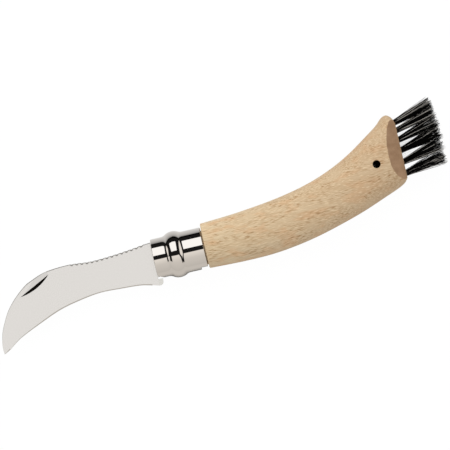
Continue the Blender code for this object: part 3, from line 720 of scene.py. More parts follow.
def make_floor_material():
    """A plain pale floor: white to the camera, and dark where the knife shades it closely. Metal sees it with
    painted shade and a painted fade into the dark.
    """
    material = bpy.data.materials.new("white floor")
    material.use_nodes = True
    tree = material.node_tree
    tree.nodes.clear()
    light = add_node(tree, "ShaderNodeLightPath", {})
    seen = calculate(tree, "MAXIMUM", light.outputs["Is Camera Ray"], light.outputs["Is Transmission Ray"])
    # How open the floor is to the room within a near and a far reach
    near, far = [
        add_node(tree, "ShaderNodeAmbientOcclusion", {"Distance": reach}, samples=16).outputs["AO"]
        for reach in (14.0 * MM, 40.0 * MM)
    ]
    white = between(tree, near, 0.1, 0.24, 0.0, 1.02)
    lit = add_node(tree, "ShaderNodeBsdfDiffuse", {"Color": FLOOR_TONE}).outputs[0]
    bright = mix_shaders(tree, 0.05, emission(tree, WHITE, white), lit)
    place = add_node(tree, "ShaderNodeTexCoord", {})
    spread = parts_of(tree, place.outputs["Object"])
    side = between(tree, spread["Y"], -12.0 * MM, -4.0 * MM)
    colors = settings("knife_colors")
    # On the softbox's side the floor that metal mirrors is painted to fade into the dark, sooner behind the
    # wood: a painted reflection
    painted_fade = between(tree, spread["Y"], 10.0 * MM, 45.0 * MM, 0.92, 0.62)
    end = between(tree, spread["X"], AXIS.x - 3.0 * MM, AXIS.x + 3.0 * MM, 140.0 * MM, 105.0 * MM)
    painted_fade = product(tree, painted_fade, between(tree, spread["Y"], 50.0 * MM, end, 1.0, 0.0))
    # On the other side, metal sees the knife's own shade on the floor
    shaded = between(tree, far, 0.68, 0.96, 0.1, 0.92)
    tone = blend_colors(tree, side, colors.studio_pale, FLOOR_GLEAM)
    nearby = between(tree, side, 0.0, 1.0, shaded, painted_fade)
    plain = mix_shaders(tree, light.outputs["Is Glossy Ray"], lit, emission(tree, tone, nearby))
    final = mix_shaders(tree, seen, plain, bright)
    add_node(tree, "ShaderNodeOutputMaterial", {"Surface": final})
    return material


class KNIFE_OT_stage(bpy.types.Operator):
    """Set the floor, the softbox, the room's light and the camera straight above the knife"""
    bl_idname = "knife.stage"
    bl_label = "Set the stage"

    def execute(self, context):
        stage = settings("knife_stage")
        clear_selection()
        bpy.ops.mesh.primitive_plane_add(size=FLOOR_SIZE)
        floor = context.object
        floor.name = "floor"
        floor.data.materials.append(make_floor_material())
        self.add_softbox(stage)
        self.add_room(stage)
        self.add_camera(stage)
        context.scene.view_settings.view_transform = "Standard"
        return {"FINISHED"}

    def add_softbox(self, stage):
        """The key light stands over the side of the blade's back. Metal sees it as the room shows it."""
        bpy.ops.object.light_add(type="AREA", location=AXIS + BOX_AWAY * BOX_DISTANCE + RIGHT * BOX_SHIFT)
        softbox = bpy.context.object
        softbox.name = "softbox"
        softbox.visible_glossy = False
        softbox.rotation_euler = (-BOX_ANGLE, 0.0, 0.0)
        softbox.data.shape = "RECTANGLE"
        softbox.data.size = BOX_LENGTH
        softbox.data.size_y = BOX_WIDTH
        softbox.data.energy = stage.key_radiance * math.pi * BOX_LENGTH * BOX_WIDTH

    def softbox_reflection(self, tree, direction):
        """1 in the directions from the ring that meet the softbox, and 0 past its edges."""
        def along(axis):
            node = add_node(tree, "ShaderNodeVectorMath", {0: direction, 1: axis}, operation="DOT_PRODUCT")
            return node.outputs["Value"]

        depth = along(BOX_AWAY)
        soft = 0.01
        inside = between(tree, depth, 0.0, soft)
        for axis, middle, size in ((RIGHT, BOX_SHIFT, BOX_LENGTH), (BOX_ACROSS, 0.0, BOX_WIDTH)):
            place = calculate(tree, "DIVIDE", along(axis), depth)
            away = calculate(tree, "ABSOLUTE", calculate(tree, "SUBTRACT", place, middle / BOX_DISTANCE))
            edge = size / 2.0 / BOX_DISTANCE
            inside = product(tree, inside, between(tree, away, edge - soft, edge, 1.0, 0.0))
        return inside

    def strip(self, tree, angle, low, high, soft):
        """1 where the angle lies between two limits in degrees, and 0 past their soft edges."""
        rising = between_degrees(tree, angle, low - soft, low)
        falling = between_degrees(tree, angle, high, high + soft, 1.0, 0.0)
        return product(tree, rising, falling)

    def add_room(self, stage):
        """The room: even fill light, and for metal a pale studio. Polished metal also shows the
        softbox in its black frame."""
        world = bpy.data.worlds.new("studio")
        bpy.context.scene.world = world
        world.use_nodes = True
        tree = world.node_tree
        tree.nodes.clear()
        place = add_node(tree, "ShaderNodeTexCoord", {})
        direction = place.outputs["Generated"]
        spread = parts_of(tree, direction)
        tilt = calculate(tree, "ARCTAN2", spread["Y"], spread["Z"])
        swing = calculate(tree, "ARCSINE", spread["X"])
        above = between_degrees(tree, tilt, -5.5, -3.5)
        # The frame's end on the blade's side leans inwards with its height
        lean = between_degrees(tree, tilt, 0.0, 50.0, 0.0, math.radians(12.0))
        front_end = between_degrees(tree, calculate(tree, "SUBTRACT", swing, lean), -66.0, -64.0)
        rear_end = between_degrees(tree, swing, 39.0, 41.0, 1.0, 0.0)
        black = product(tree, above, front_end, rear_end)
        # A black stand at each end of the ring's axis reaches lower, and lines the bead's flanks
        spread_out = between_degrees(tree, tilt, -24.0, 0.0, math.radians(12.0), 0.0)
        rear_swing = calculate(tree, "SUBTRACT", swing, spread_out)
        side_soft, end_soft, highest = 3.0, 6.0, 2.0
        for angle, left, right, lowest in ((swing, -56.0, -40.0, -34.0), (rear_swing, 27.0, 37.0, -57.0)):
            across = self.strip(tree, angle, left, right, side_soft)
            stand = product(tree, across, self.strip(tree, tilt, lowest, highest, end_soft))
            black = calculate(tree, "MAXIMUM", black, stand)
        # For polished metal the pale room is brightest near the top and dims towards the floor
        upper = between_degrees(tree, tilt, -38.0, -5.0, 1.0, 1.3)
        lower = between_degrees(tree, tilt, -90.0, -38.0, 0.86, 1.0)
        dimming = product(tree, upper, lower)
        colors = settings("knife_colors")
        # Only the polished ring shows the frame. Satin steel mirrors a pale ceiling and greyer walls
        walls = between(tree, spread["Z"], 0.2, 0.8, 0.45, 1.0)
        light = add_node(tree, "ShaderNodeLightPath", {})
        polished = light.outputs["Is Singular Ray"]
        studio = blend_colors(tree, product(tree, black, polished), colors.studio_pale, FRAME_TONE)
        lamp = product(tree, self.softbox_reflection(tree, direction), polished)
        studio = blend_colors(tree, lamp, studio, LAMP_TONE)
        fill = (stage.fill, stage.fill, stage.fill, 1.0)
        final = blend_colors(tree, light.outputs["Is Glossy Ray"], fill, studio)
        mirrored = between(tree, polished, 0.0, 1.0, walls, dimming)
        strength = between(tree, light.outputs["Is Glossy Ray"], 0.0, 1.0, 1.0, mirrored)
        background = add_node(tree, "ShaderNodeBackground", {"Color": final, "Strength": strength})
        add_node(tree, "ShaderNodeOutputWorld", {"Surface": background.outputs[0]})

    def add_camera(self, stage):
        """The photograph was taken from straight above, with the ring's axis 13 degrees off level."""
        roll = stage.camera_roll
        right = Vector((math.cos(roll), -math.sin(roll), 0.0))
        up = Vector((math.sin(roll), math.cos(roll), 0.0))
        middle = AXIS + right * stage.picture_right + up * stage.picture_up
        bpy.ops.object.camera_add(location=middle + UP * stage.camera_height, rotation=(0.0, 0.0, -roll))
        camera = bpy.context.object
        camera.name = "camera"
        camera.data.lens = camera.data.sensor_width * stage.camera_height / stage.view_width
        camera.data.clip_start = 10.0 * MM
        bpy.context.scene.camera = camera


class KNIFE_OT_blade(bpy.types.Operator):
    """Model the hooked blade with its grind, scallops and nail nick"""
    bl_idname = "knife.blade"
    bl_label = "Model the blade"

    def stations(self, sizes):
        """Sections from the round end of the tang to the tip."""
        pairs = []
        tang_top = PIVOT.y + TANG_HALF
        for angle in quarter_turn(8)[-2::-1]:
            reach = TANG_HALF * math.cos(angle)
            x = TANG_HALF * math.sin(angle)
            pairs.append(((x, PIVOT.y + reach), (x, PIVOT.y - reach)))
        heel_x = SHOULDER_X + HEEL_LENGTH
        pairs.append(((heel_x, tang_top), (heel_x, PIVOT.y - TANG_HALF)))
        for point in heel_points()[::-1]:
            pairs.append(((point.x, tang_top), point))
        step_x = SHOULDER_X + SHOULDER_STEP
        pairs.append(((step_x, tang_top), (step_x, -HEEL_DROP)))
        pairs.append(((SHOULDER_X, HEEL_RISE), (SHOULDER_X, -HEEL_DROP)))
        backs = spread_evenly(blade_curve(back_shares)[::-1], sizes.stations)
        edges = spread_evenly(blade_curve(edge_shares)[::-1], sizes.stations)
        # Sections close to both ends of the bare stretch keep it flat in the shading
        first = GRIND_END_X + GRIND_STEP
        for x in (SHOULDER_X - SUPPORT_GAP, first + SUPPORT_GAP, first):
            share = (SHOULDER_X - x) / (SHOULDER_X - first)
            back_y = HEEL_RISE + share * (backs[0].y - HEEL_RISE)
            edge_y = -HEEL_DROP + share * (edges[0].y + HEEL_DROP)
            pairs.append(((x, back_y), (x, edge_y)))
        stations = []
        for pair in pairs + list(zip(backs, edges)):
            back, edge = [Vector(point).to_3d() for point in pair]
            across = back - edge
            turn = math.atan2(-across.x, across.y)
            from_tip = (back.x - (SHOULDER_X - BLADE_REACH)) / sizes.tip_thinning
            width = sizes.thickness * max(TIP_SHARE, min(1.0, from_tip))
            stations.append((AXIS + (back + edge) / 2.0, across.length, width, turn))
        return stations

    def execute(self, context):
        sizes = settings("knife_blade")
        colors = settings("knife_colors")
        stations = self.stations(sizes)
        place, height, width, turn = stations[0]
        around = [(share - 0.5, 0.5) for share, _ in grind_levels]
        around += [(share - 0.5, -0.5) for share, _ in grind_levels[::-1]]
        points = [place + Vector((0.0, -across * height, side * width)) for across, side in around]
        blade = draw_chain("blade_steel", points)
        leave_edit_mode()
        # Each point of a section carries its level, which the loft copies along
        level = blade.data.attributes.new("level", "FLOAT", "POINT")
        for vertex in blade.data.vertices:
            nearest = min(
                range(len(points)), key=lambda index: (points[index] - vertex.co).length
            )
            level.data[vertex.index].value = min(nearest, len(points) - 1 - nearest)
        choose(blade)
        bpy.ops.object.mode_set(mode="EDIT")
        draw_loft(stations)
        self.grind(blade, sizes)
        leave_edit_mode()
        along, across = (30.0, 0.25, 0.25), (0.3, 3.0, 3.0)
        steels = (
            ("fine-ground stainless steel", colors.blade_steel, 0.2, 0.04, along, 0.001 * MM),
            ("nick steel painted with shade", colors.nick_shade_steel, 0.5, 0.1, (2.0, 0.2, 0.2), 0.01 * MM),
            ("honed stainless edge with painted shade", colors.edge_steel_and_shade, 0.35, 0.1, across, 0.004 * MM),
            ("scallop steel painted with shade", colors.scallop_shade_steel, 0.5, 0.1, across, 0.004 * MM),
            ("cross-ground stainless steel", colors.ramp_steel, 0.3, 0.1, across, 0.004 * MM),
            ("satin steel of the tang", colors.tang_steel, 0.25, 0.1, along, 0.001 * MM),
        )
        paint(blade, *[make_steel(*steel) for steel in steels])
        paint_faces(blade, TANG_SLOT, lambda middle, normal: middle.x > SHOULDER_X + CLOSE)
        self.paint_rims(blade)
        cut_away(blade, draw_upright_rod("pin_hole", at(0.0, PIVOT.y), OVERRUN, HOLE_RADIUS))
        left = SHOULDER_X + SHOULDER_STEP / 2.0
        right = SHOULDER_X + HEEL_LENGTH + OVERRUN
        notch = ((left, NOTCH_Y), (right, NOTCH_Y), (right, NOTCH_TOP), (left, NOTCH_TOP))
        cut_away(blade, draw_slab("heel_notch", notch, OVERRUN))
        self.cut_scallops(blade, sizes)
        self.cut_nick(blade, sizes)
        shade(blade, 25.0)
        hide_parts("blade")
        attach(blade, "folding_blade")
        return {"FINISHED"}

    def grind(self, blade, sizes):
        """Thin the blade towards its edge, level by level, and the bare stretch a little less."""
        grind_end = GRIND_END_X + GRIND_STEP / 3.0
        stretches = (
            (-math.inf, grind_end, 1.0),
            (grind_end, SHOULDER_X + HEEL_LENGTH - CLOSE, sizes.bare_share),
        )
        for index, (_, thick) in enumerate(grind_levels):
            for start, end, grind_share in stretches:
                mesh = bmesh.from_edit_mesh(blade.data)
                layer = mesh.verts.layers.float["level"]
                bpy.ops.mesh.select_all(action="DESELECT")
                for vertex in mesh.verts:
                    in_stretch = start < vertex.co.x - AXIS.x < end
                    vertex.select = round(vertex[layer]) == index and in_stretch
                mesh.select_flush_mode()
                bmesh.update_edit_mesh(blade.data)
                left_over = 1.0 - (1.0 - thick) * grind_share
                bpy.ops.transform.resize(value=(1.0, 1.0, left_over), center_override=AXIS)

    def paint_rims(self, blade):
        """Give the honed steel to the cutting edge, and to the narrow bevel along the back. Its darker tone
        is partly painted shade: the dark line that the bevels show.
        """
        levels = blade.data.attributes["level"].data
        # The honed rim is one level wider over the last of the drop to the tip
        drop_share = 0.93
        tip_y = AXIS.y - drop_share * BLADE_DROP
        edge_level = len(grind_levels) - 2.5
        back_level = 1.5
        for face in blade.data.polygons:
            around = [levels[index].value for index in face.vertices]
            lowest = edge_level - 1.0 if face.center.y < tip_y else edge_level
            if face.center.x < AXIS.x + GRIND_END_X and (min(around) > lowest or max(around) < back_level):
                face.material_index = RIM_SLOT

    def cut_scallops(self, blade, sizes):
        """A row of small round scallops along the back."""
        curve = [Vector((-point.x, point.y)) for point in blade_curve(back_shares)[::-1]]
        lean = Vector((0.0, -math.sin(sizes.serration_lean), math.cos(sizes.serration_lean)))
        rods = []
        middles = []
        for index in range(sizes.serrations):
            x = SHOULDER_X - sizes.serration_start - index * sizes.serration_pitch
            middle = at(x, height_at(curve, -x) + sizes.serration_radius - sizes.serration_depth)
            middles.append(middle)
            reach = lean * OVERRUN
            radius = sizes.serration_radius
            rods.append(draw_rod("scallop", middle - reach, middle + reach, radius, sides=20))
        cut_away(blade, join_pieces(rods))

        def in_scallop(middle, normal):
            for place in middles:
                offset = middle + AXIS - place
                if (offset - lean * offset.dot(lean)).length < sizes.serration_radius + CLOSE:
                    return abs(normal.z) < WALL_FACING
            return False

        # The scallops' walls take the darker steel, which is painted shade
        paint_faces(blade, SCALLOP_SHADE_SLOT, in_scallop)

    def cut_nick(self, blade, sizes):
        """A nail nick: a steep curved wall below its straight line, and a shallow ramp above it."""
        half = sizes.nick_length / 2.0
        turn = Matrix.Rotation(sizes.nick_tilt, 3, "Z")
        centre = at(sizes.nick_x, sizes.nick_y)
        surface = sizes.thickness / 2.0
        steps = 16
        lens = []
        for step in range(steps + 1):
            share = 2.0 * step / steps - 1.0
            bulge = -sizes.nick_bulge * (1.0 - share * share)
            lens.append(Vector((share * half, bulge, surface - sizes.nick_depth)))
        lens = [centre + turn @ point for point in lens]
        cut_away(blade, draw_block("nick_wall", lens, UP * OVERRUN))
        # The ramp is deepest at the straight line, and runs out towards the back and the tip
        ramp_share, run_out = 0.85, 0.97
        rise = sizes.nick_depth * ramp_share
        shallower = run_out * rise
        low = surface - rise + shallower
        width = sizes.ramp_width
        ramp = [(0.0, low), (width, low + rise), (width, OVERRUN), (0.0, OVERRUN)]
        ramp = [centre + turn @ Vector((-half, y, z)) for y, z in ramp]
        cut_away(blade, draw_block("nick_ramp", ramp, turn @ Vector((2.0 * half, 0.0, -shallower))))
        inverse = turn.inverted()
        sunk_share = 0.92
        steepest, flattest = 0.9, 0.9985

        def in_lens(middle, normal):
            spot = inverse @ (middle + AXIS - centre)
            bulge = -sizes.nick_bulge * (1.0 - (spot.x / half) ** 2)
            sunk = 0.0 < middle.z < surface * sunk_share
            return sunk and abs(spot.x) < half and bulge - NEAR < spot.y < NEAR

        # The lens's wall and floor take the nearly black steel, which is painted shade for the nick's steep
        # wall
        paint_faces(blade, NICK_SHADE_SLOT, in_lens)

        def in_ramp(middle, normal):
            spot = inverse @ (middle + AXIS - centre)
            sloped = middle.z > 0.0 and steepest < normal.z < flattest
            return sloped and abs(spot.x) < half and 0.0 < spot.y < width

        paint_faces(blade, RAMP_SLOT, in_ramp)


class KNIFE_OT_ring(bpy.types.Operator):
    """Turn the split locking ring and the fixed collar under it"""
    bl_idname = "knife.ring"
    bl_label = "Turn the ring and collar"

    def bead_height(self, x, arc, fillet):
        """Outer radius of the ring at x: plain stretches, a round bead, and hollow fillets beside it."""
        side = RING_FRONT_RADIUS if x < 0.0 else RING_REAR_RADIUS
        centre = BEAD_RADIUS - arc
        fillet_x = math.sqrt((arc + fillet) ** 2 - (side + fillet - centre) ** 2)
        touch_x = fillet_x * arc / (arc + fillet)
        if abs(x) <= touch_x:
            return centre + math.sqrt(arc ** 2 - x ** 2)
        if abs(x) >= fillet_x:
            return side
        return side + fillet - math.sqrt(fillet ** 2 - (fillet_x - abs(x)) ** 2)

    def profile(self, sizes):
        """The ring's wall as (x, radius) points."""
        lips = []
        ends = ((RING_FRONT_X, sizes.lip, RING_FRONT_RADIUS), (RING_REAR_X, -sizes.lip, RING_REAR_RADIUS))
        for end, inwards, radius in ends:
            lips.append([
                (end + inwards * (1.0 - math.sin(angle)), radius - sizes.lip * (1.0 - math.cos(angle)))
                for angle in quarter_turn(5)
            ])
        outer = lips[0][::-1] + [(RING_FRONT_X + sizes.lip + SUPPORT_GAP, RING_FRONT_RADIUS)]
        # The bead and its fillets lie within this distance of its middle
        flank = 0.9 * sizes.bead_arc
        outer_steps = 64
        for step in range(outer_steps + 1):
            x = flank * (2.0 * step / outer_steps - 1.0)
            outer.append((x, self.bead_height(x, sizes.bead_arc, sizes.fillet)))
        outer += [(RING_REAR_X - sizes.lip - SUPPORT_GAP, RING_REAR_RADIUS)] + lips[1]
        inner = [(RING_REAR_X, RING_REAR_RADIUS - sizes.wall)]
        narrowed = BEAD_HALF_WIDTH - sizes.wall / 2.0
        inner_steps = 13
        for step in range(inner_steps, -1, -1):
            share = 2.0 * step / inner_steps - 1.0
            rise = BEAD_RADIUS - (RING_FRONT_RADIUS if share < 0.0 else RING_REAR_RADIUS)
            arc = (BEAD_HALF_WIDTH ** 2 + rise ** 2) / (2.0 * rise)
            height = self.bead_height(BEAD_HALF_WIDTH * share, arc, 0.0)
            inner.append((narrowed * share, height - sizes.wall))
        inner.append((RING_FRONT_X, RING_FRONT_RADIUS - sizes.wall))
        return outer + inner

    def turn_profile(self, name, profile, sides):
        """Spin a closed profile round the ring's axis."""
        points = [at(x, 0.0, radius) for x, radius in profile]
        piece = draw_chain(name, points + points[:1])
        merge_close_points()
        select_mesh()
        bpy.ops.mesh.spin(steps=sides, angle=math.tau, center=AXIS, axis=RIGHT)
        merge_close_points()
        face_outwards()
        leave_edit_mode()
        return piece

    def slot_cutter(self, width):
        """A slot along the underside, open at both ends."""
        left = RING_FRONT_X - OVERRUN
        right = WOOD_X + OVERRUN
        deep = -BEAD_RADIUS - OVERRUN
        corners = ((left, deep), (right, deep), (right, 0.0), (left, 0.0))
        return draw_slab("underside_slot", corners, width / 2.0)

    def chamfer_cutter(self):
        """A wedge that slopes both front corners of the ring's gap."""
        half = RING_GAP / 2.0
        slope = (CHAMFER_HALF_WIDTH - half) / CHAMFER_LENGTH
        wide = CHAMFER_HALF_WIDTH + slope * OVERRUN
        left = RING_FRONT_X - OVERRUN
        right = RING_FRONT_X + CHAMFER_LENGTH
        deep = BEAD_RADIUS + OVERRUN
        corners = [(left, -wide), (left, wide), (right, half), (right, -half)]
        return draw_block("gap_chamfer", [at(x, -deep, z) for x, z in corners], Vector((0.0, deep, 0.0)))

    def relief_cutter(self):
        """A sector that shortens the ring's rear edge where it turns past the folded blade."""
        steps = 24
        wide = (BEAD_RADIUS + OVERRUN) / math.cos((RELIEF_TO - RELIEF_FROM) / steps / 2.0)
        outline = [at(RELIEF_X, 0.0, 0.0)]
        for step in range(steps + 1):
            angle = RELIEF_FROM + (RELIEF_TO - RELIEF_FROM) * step / steps
            outline.append(at(RELIEF_X, wide * math.cos(angle), wide * math.sin(angle)))
        return draw_block("rear_relief", outline, Vector((RING_REAR_X - RELIEF_X + OVERRUN, 0.0, 0.0)))

    def execute(self, context):
        sizes = settings("knife_ring")
        colors = settings("knife_colors")
        ring = self.turn_profile("polished_ring", self.profile(sizes), sizes.sides)
        # Smooth enough that the room's node for perfectly sharp reflections takes it as polished
        polish = 0.003
        steel = make_steel("polished stainless steel", colors.ring_steel, polish, 0.2, (1.0, 1.0, 1.0), 0.0)
        paint(ring, steel)
        for cutter in (self.slot_cutter(RING_GAP), self.chamfer_cutter(), self.relief_cutter()):
            cut_away(ring, cutter)
        shade(ring, 28.0)
        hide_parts("locking_ring")
        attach(ring, "lock")
        # The collar ends just under the ring's rear edge, so that the groove before the wood is dark
        collar_end = COLLAR_REAR_X - sizes.collar_setback
        outside = [(COLLAR_FRONT_X, COLLAR_FRONT_RADIUS), (collar_end, COLLAR_REAR_RADIUS)]
        wall = outside + [(x, radius - COLLAR_WALL) for x, radius in outside[::-1]]
        collar = self.turn_profile("drawn_collar", wall, sizes.sides)
        steel = colors.collar_steel
        paint(collar, make_steel("drawn stainless steel", steel, 0.28, 0.15, (0.3, 6.0, 6.0), 0.004 * MM))
        cut_away(collar, self.slot_cutter(COLLAR_SLOT))
        reach = BEAD_RADIUS + OVERRUN
        cut_away(collar, draw_upright_rod("pin_hole", at(0.0, PIVOT.y), reach, HOLE_RADIUS))
        shade(collar, 28.0)
        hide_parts("fixed_collar")
        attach(collar, "knife_handle")
        riveted = make_steel("riveted stainless pin", steel, 0.22, 0.15, (0.4, 0.4, 0.4), 0.004 * MM)
        frame["nodes"]["pivot_pin"].material_slots[0].material = riveted
        return {"FINISHED"}


class KNIFE_OT_handle(bpy.types.Operator):
    """Shape the beech handle with its tenon, slot, holes and bevelled end"""
    bl_idname = "knife.handle"
    bl_label = "Shape the handle"

    def add_tenon(self, handle):
        """Join the round tenon that fills the collar to the shoulder of the wood."""
        radii = []
        for x in (TENON_FRONT_X, WOOD_X):
            share = (x - COLLAR_FRONT_X) / (COLLAR_REAR_X - COLLAR_FRONT_X)
            outside = COLLAR_FRONT_RADIUS + share * (COLLAR_REAR_RADIUS - COLLAR_FRONT_RADIUS)
            radii.append(outside - COLLAR_WALL - FIT_GAP)
        sunk = 1.0 * MM
        clear_selection()
        bpy.ops.mesh.primitive_cone_add(
            vertices=96, radius1=radii[0], radius2=radii[1], depth=WOOD_X - TENON_FRONT_X + sunk,
            location=at((WOOD_X + sunk + TENON_FRONT_X) / 2.0, 0.0), rotation=(0.0, math.radians(90.0), 0.0),
        )
        tenon = bpy.context.object
        tenon.name = "tenon"
        settle(tenon)
        change_shape(handle, tenon, "UNION")

    def stations(self, sizes):
        """Sections from the shoulder to the brush end."""
        top, bottom = [
            smooth_curve([(WOOD_X + x * HANDLE_LENGTH, y * HANDLE_RISE) for x, y in shares], 8)
            for shares in (top_shares, bottom_shares)
        ]
        stations = []
        edge = sizes.edge_round
        places = [
            (WOOD_X + edge * (1.0 - math.cos(angle)), edge * (1.0 - math.sin(angle)))
            for angle in quarter_turn(4)
        ]
        start = places[-1][0]
        # Sections stand closer and closer together over the last stretch, where the outline turns in
        end_start = END_X - sizes.end_stretch
        for step in range(1, sizes.stations + 1):
            places.append((start + (end_start - start) * step / sizes.stations, 0.0))
        for angle in quarter_turn(26)[1:]:
            places.append((end_start + (END_X - end_start) * math.sin(angle), 0.0))
        for x, inset in places:
            high = height_at(top, x)
            low = height_at(bottom, x)
            full = max(0.0, min(1.0, (x - WOOD_X) / (sizes.filling_share * HANDLE_LENGTH)))
            full = full * full * (3.0 - 2.0 * full)
            width = sizes.shoulder + full * (sizes.thickness - sizes.shoulder)
            stations.append((at(x, (high + low) / 2.0), high - low - 2.0 * inset, width - 2.0 * inset, 0.0))
        return stations

    def slot_outline(self):
        """The blade slot from the side: room for the tang, the folded edge and the tip's swing."""
        def folded_point(point):
            offset = Vector((point[0], point[1])) - PIVOT.xy
            offset.rotate(Matrix.Rotation(FOLD_ANGLE, 2))
            return PIVOT.xy + offset

        front = TENON_FRONT_X - OVERRUN
        below = -HEEL_DROP - OVERRUN
        tang_room = PIVOT.y + TANG_HALF + FIT_GAP
        heel = [folded_point(point) for point in heel_points()[::-1]]
        heel_x = min(point.x for point in heel) - FIT_GAP
        heel_y = max(point.y for point in heel) + FIT_GAP
        outline = [(front, below), (front, tang_room), (heel_x, tang_room), (heel_x, heel_y)]
        heel_end = max(point.x for point in heel)
        shoulder = folded_point((SHOULDER_X, -HEEL_DROP))
        outline.append((shoulder.x, shoulder.y + FIT_GAP))
        folded = [folded_point(point) for point in spread_evenly(blade_curve(edge_shares)[::-1], 16)]
        outline += [(point.x, point.y + 2.0 * FIT_GAP) for point in folded[:-1] if point.x > heel_end]
        tip = folded[-1] - PIVOT.xy
        swing = tip.length + FIT_GAP
        tip_angle = math.atan2(tip.y, tip.x) + FIT_GAP / tip.length
        last_angle = math.asin((below - PIVOT.y) / swing)
        steps = 10
        for step in range(steps + 1):
            angle = tip_angle + (last_angle - tip_angle) * step / steps
            outline.append((PIVOT.x + swing * math.cos(angle), PIVOT.y + swing * math.sin(angle)))
        return outline

    def bevel_end(self):
        """Slice both flat bevels off the brush end."""
        for side in (1.0, -1.0):
            normal = Vector((FACET_RISE, 0.0, side * FACET_LENGTH)).normalized()
            select_mesh()
            bpy.ops.mesh.bisect(
                plane_co=at(END_X, 0.0, side * END_THICKNESS / 2.0), plane_no=normal,
                use_fill=True, clear_outer=True,
            )

    def execute(self, context):
        sizes = settings("knife_handle")
        colors = settings("knife_colors")
        stations = self.stations(sizes)
        place, height, width, _ = stations[0]
        points = []
        for index in range(sizes.sides):
            angle = math.tau * (index + 0.5) / sizes.sides
            high = math.copysign(abs(math.cos(angle)) ** (2.0 / sizes.fullness), math.cos(angle))
            wide = math.copysign(abs(math.sin(angle)) ** (2.0 / sizes.fullness), math.sin(angle))
            points.append(place + Vector((0.0, high * height / 2.0, wide * width / 2.0)))
        handle = draw_chain("beech_handle", points)
        draw_loft(stations)
        self.bevel_end()
        face_outwards()
        leave_edit_mode()
        paint(handle, make_beech(colors), make_end_grain(colors), make_bore_shade(colors))
        self.add_tenon(handle)
        cut_away(handle, draw_slab("blade_slot", self.slot_outline(), SLOT_WIDTH / 2.0))
        reach = BEAD_RADIUS + OVERRUN
        rods = [
            draw_upright_rod("pin_hole", at(0.0, PIVOT.y), reach, HOLE_RADIUS),
            draw_upright_rod("lanyard_hole", AXIS + LANYARD, reach, sizes.lanyard_radius),
        ]
        bore = TUFT_RADIUS + FIT_GAP
        for _, root, _, _ in tuft_places():
            bottom = root - TUFT_AXIS * HOLE_DEPTH
            rods.append(draw_rod("tuft_hole", bottom, root + TUFT_AXIS * OVERRUN, bore, sides=32))
        cut_away(handle, join_pieces(rods))
        facet = Vector((FACET_RISE, 0.0, FACET_LENGTH)).normalized()
        end_zone = END_X - 1.5 * FACET_LENGTH
        rim_depth = 1.0 * MM
        lanyard_facing = 0.5

        def at_end(middle, normal):
            tilted = Vector((normal.x, normal.y, abs(normal.z))).dot(facet) > FLAT_FACING
            return middle.x > end_zone and (tilted or normal.x > FLAT_FACING)

        def in_bore(middle, normal):
            if (middle.xy - LANYARD.xy).length < sizes.lanyard_radius + NEAR:
                return abs(normal.z) < lanyard_facing
            for _, root, _, _ in tuft_places():
                offset = middle + AXIS - root
                along = offset.dot(TUFT_AXIS)
                away = (offset - TUFT_AXIS * along).length
                if -HOLE_DEPTH - NEAR < along < rim_depth and away < bore + 2.0 * CLOSE:
                    return abs(normal.x) < WALL_FACING or along < -rim_depth
            return False

        paint_faces(handle, END_SLOT, at_end)
        # The holes' walls take the nearly black wood, which is painted shade for the dark inside them
        paint_faces(handle, BORE_SHADE_SLOT, in_bore)
        shade(handle, 24.0)
        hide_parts("handle")
        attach(handle, "knife_handle")
        return {"FINISHED"}


def tuft_places():
    """Name, root point, row side and level of every tuft in the end face."""
    places = []
    for row, side in (("upper", 1.0), ("lower", -1.0)):
        for level, share in enumerate(level_shares):
            y = TUFT_LOWEST + share * TUFT_SPAN
            places.append((f"{row}_{level + 1}", at(END_X, y, side * ROW_SPACING / 2.0), side, level))
    return places


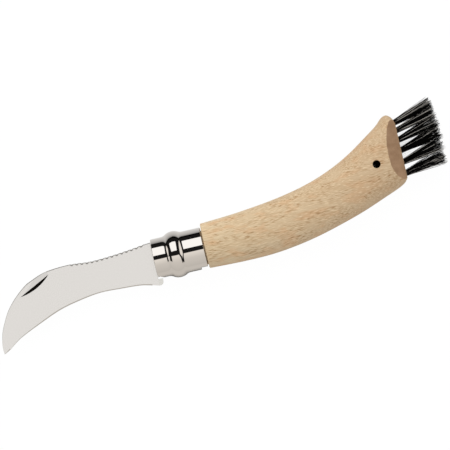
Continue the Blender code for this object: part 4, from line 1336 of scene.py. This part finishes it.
class KNIFE_OT_brush(bpy.types.Operator):
    """Set the bristle tufts in the handle's end, and dress their hidden anchors"""
    bl_idname = "knife.brush"
    bl_label = "Set the brush"

    def execute(self, context):
        sizes = settings("knife_brush")
        colors = settings("knife_colors")
        bristles = [
            make_bristle("black bristle", colors.bristle_dark, colors.bristle_root),
            make_bristle("grey bristle with painted glints", colors.bristle_grey_glint, colors.bristle_root),
        ]
        steel = colors.collar_steel
        wire = make_steel("flattened anchor wire", steel, 0.35, 0.15, (0.3, 0.3, 0.3), 0.004 * MM)
        for number, (name, root, side, level) in enumerate(tuft_places()):
            chance = random.Random(number)
            tuft = self.make_tuft(sizes, f"bristles_{name}", root, side, level, chance, bristles)
            shade(tuft, 60.0)
            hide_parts(f"tuft_{name}")
            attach(tuft, "knife_handle")
            frame["nodes"][f"tuft_anchor_{name}"].material_slots[0].material = wire
        return {"FINISHED"}

    def make_tuft(self, sizes, name, root, side, level, chance, bristles):
        """A bundle of tapered, slightly bowed bristles that fans out towards its tips."""
        curve = bpy.data.curves.new(name, "CURVE")
        curve.dimensions = "3D"
        curve.bevel_depth = sizes.strand_radius
        curve.bevel_resolution = 0
        curve.use_fill_caps = True
        for material in bristles:
            curve.materials.append(material)
        middle = TUFT_LOWEST + TUFT_SPAN / 2.0
        lift = sizes.level_spread * (root.y - AXIS.y - middle) / (TUFT_SPAN / 2.0)
        drift = TUFT_ACROSS * lift + UP * (side * sizes.row_spread)
        length = TUFT_LENGTH * length_shares[level]
        steps = 6
        for _ in range(sizes.strands):
            angle = chance.uniform(0.0, math.tau)
            out = math.sqrt(chance.uniform(0.0, 1.0))
            ray = TUFT_ACROSS * math.cos(angle) + UP * math.sin(angle)
            foot = root + ray * out * (TUFT_RADIUS - 2.0 * sizes.strand_radius) - TUFT_AXIS * FOOT_DEPTH
            reach = length * (1.0 - abs(chance.gauss(0.0, 1.0)) * sizes.unevenness)
            spread = ray * out * sizes.tip_spread * spread_shares[level]
            stray = TUFT_ACROSS * chance.gauss(0.0, LEVEL_STRAY) + UP * chance.gauss(0.0, ROW_STRAY)
            stray *= stray_shares[level]
            core = root + TUFT_AXIS * reach + drift
            bow = (TUFT_ACROSS * chance.uniform(-1.0, 1.0) + UP * chance.uniform(-1.0, 1.0)) * sizes.bow
            # Some bristles are lighter: they also stand in for glints of light on the hairs, a painted
            # highlight
            grey = chance.random() < sizes.grey_glint_share
            spline = curve.splines.new("POLY")
            spline.points.add(steps)
            spline.material_index = int(grey)
            for step in range(steps + 1):
                share = step / steps
                place = foot.lerp(core, share) + (spread + stray) * share ** FAN_POWER
                place += bow * math.sin(math.pi * share) * share
                spline.points[step].co = (*place, 1.0)
                spline.points[step].radius = (GLINT_WIDTH if grey else 1.0) - TAPER * share
        tuft = bpy.data.objects.new(name, curve)
        bpy.context.scene.collection.objects.link(tuft)
        choose(tuft)
        bpy.ops.object.convert(target="MESH")
        tuft = bpy.context.object
        name_piece(tuft, name)
        return tuft


class KNIFE_PT_panel(bpy.types.Panel):
    """The knife's sizes, colours and steps"""
    bl_idname = "KNIFE_PT_panel"
    bl_label = "Mushroom knife"
    bl_space_type = "VIEW_3D"
    bl_region_type = "UI"
    bl_category = "Mushroom knife"

    def draw(self, context):
        for operator in operators:
            self.layout.operator(operator.bl_idname)
        for name, group in groups.items():
            box = self.layout.box()
            for size in group.__annotations__:
                box.prop(getattr(context.scene, name), size)


groups = {
    "knife_blade": KnifeBladeSizes,
    "knife_ring": KnifeRingSizes,
    "knife_handle": KnifeHandleSizes,
    "knife_brush": KnifeBrushSizes,
    "knife_colors": KnifeColors,
    "knife_stage": KnifeStage,
}
operators = [KNIFE_OT_stage, KNIFE_OT_handle, KNIFE_OT_ring, KNIFE_OT_blade, KNIFE_OT_brush]


def register():
    for name, group in groups.items():
        bpy.utils.register_class(group)
        setattr(bpy.types.Scene, name, PointerProperty(type=group))
    for operator in operators:
        bpy.utils.register_class(operator)
    bpy.utils.register_class(KNIFE_PT_panel)


def unregister():
    bpy.utils.unregister_class(KNIFE_PT_panel)
    for operator in reversed(operators):
        bpy.utils.unregister_class(operator)
    for name, group in groups.items():
        delattr(bpy.types.Scene, name)
        bpy.utils.unregister_class(group)


def main():
    register()
    bpy.ops.knife.stage()
    bpy.ops.knife.handle()
    bpy.ops.knife.ring()
    bpy.ops.knife.blade()
    bpy.ops.knife.brush()


if __name__ == "__main__":
    main()
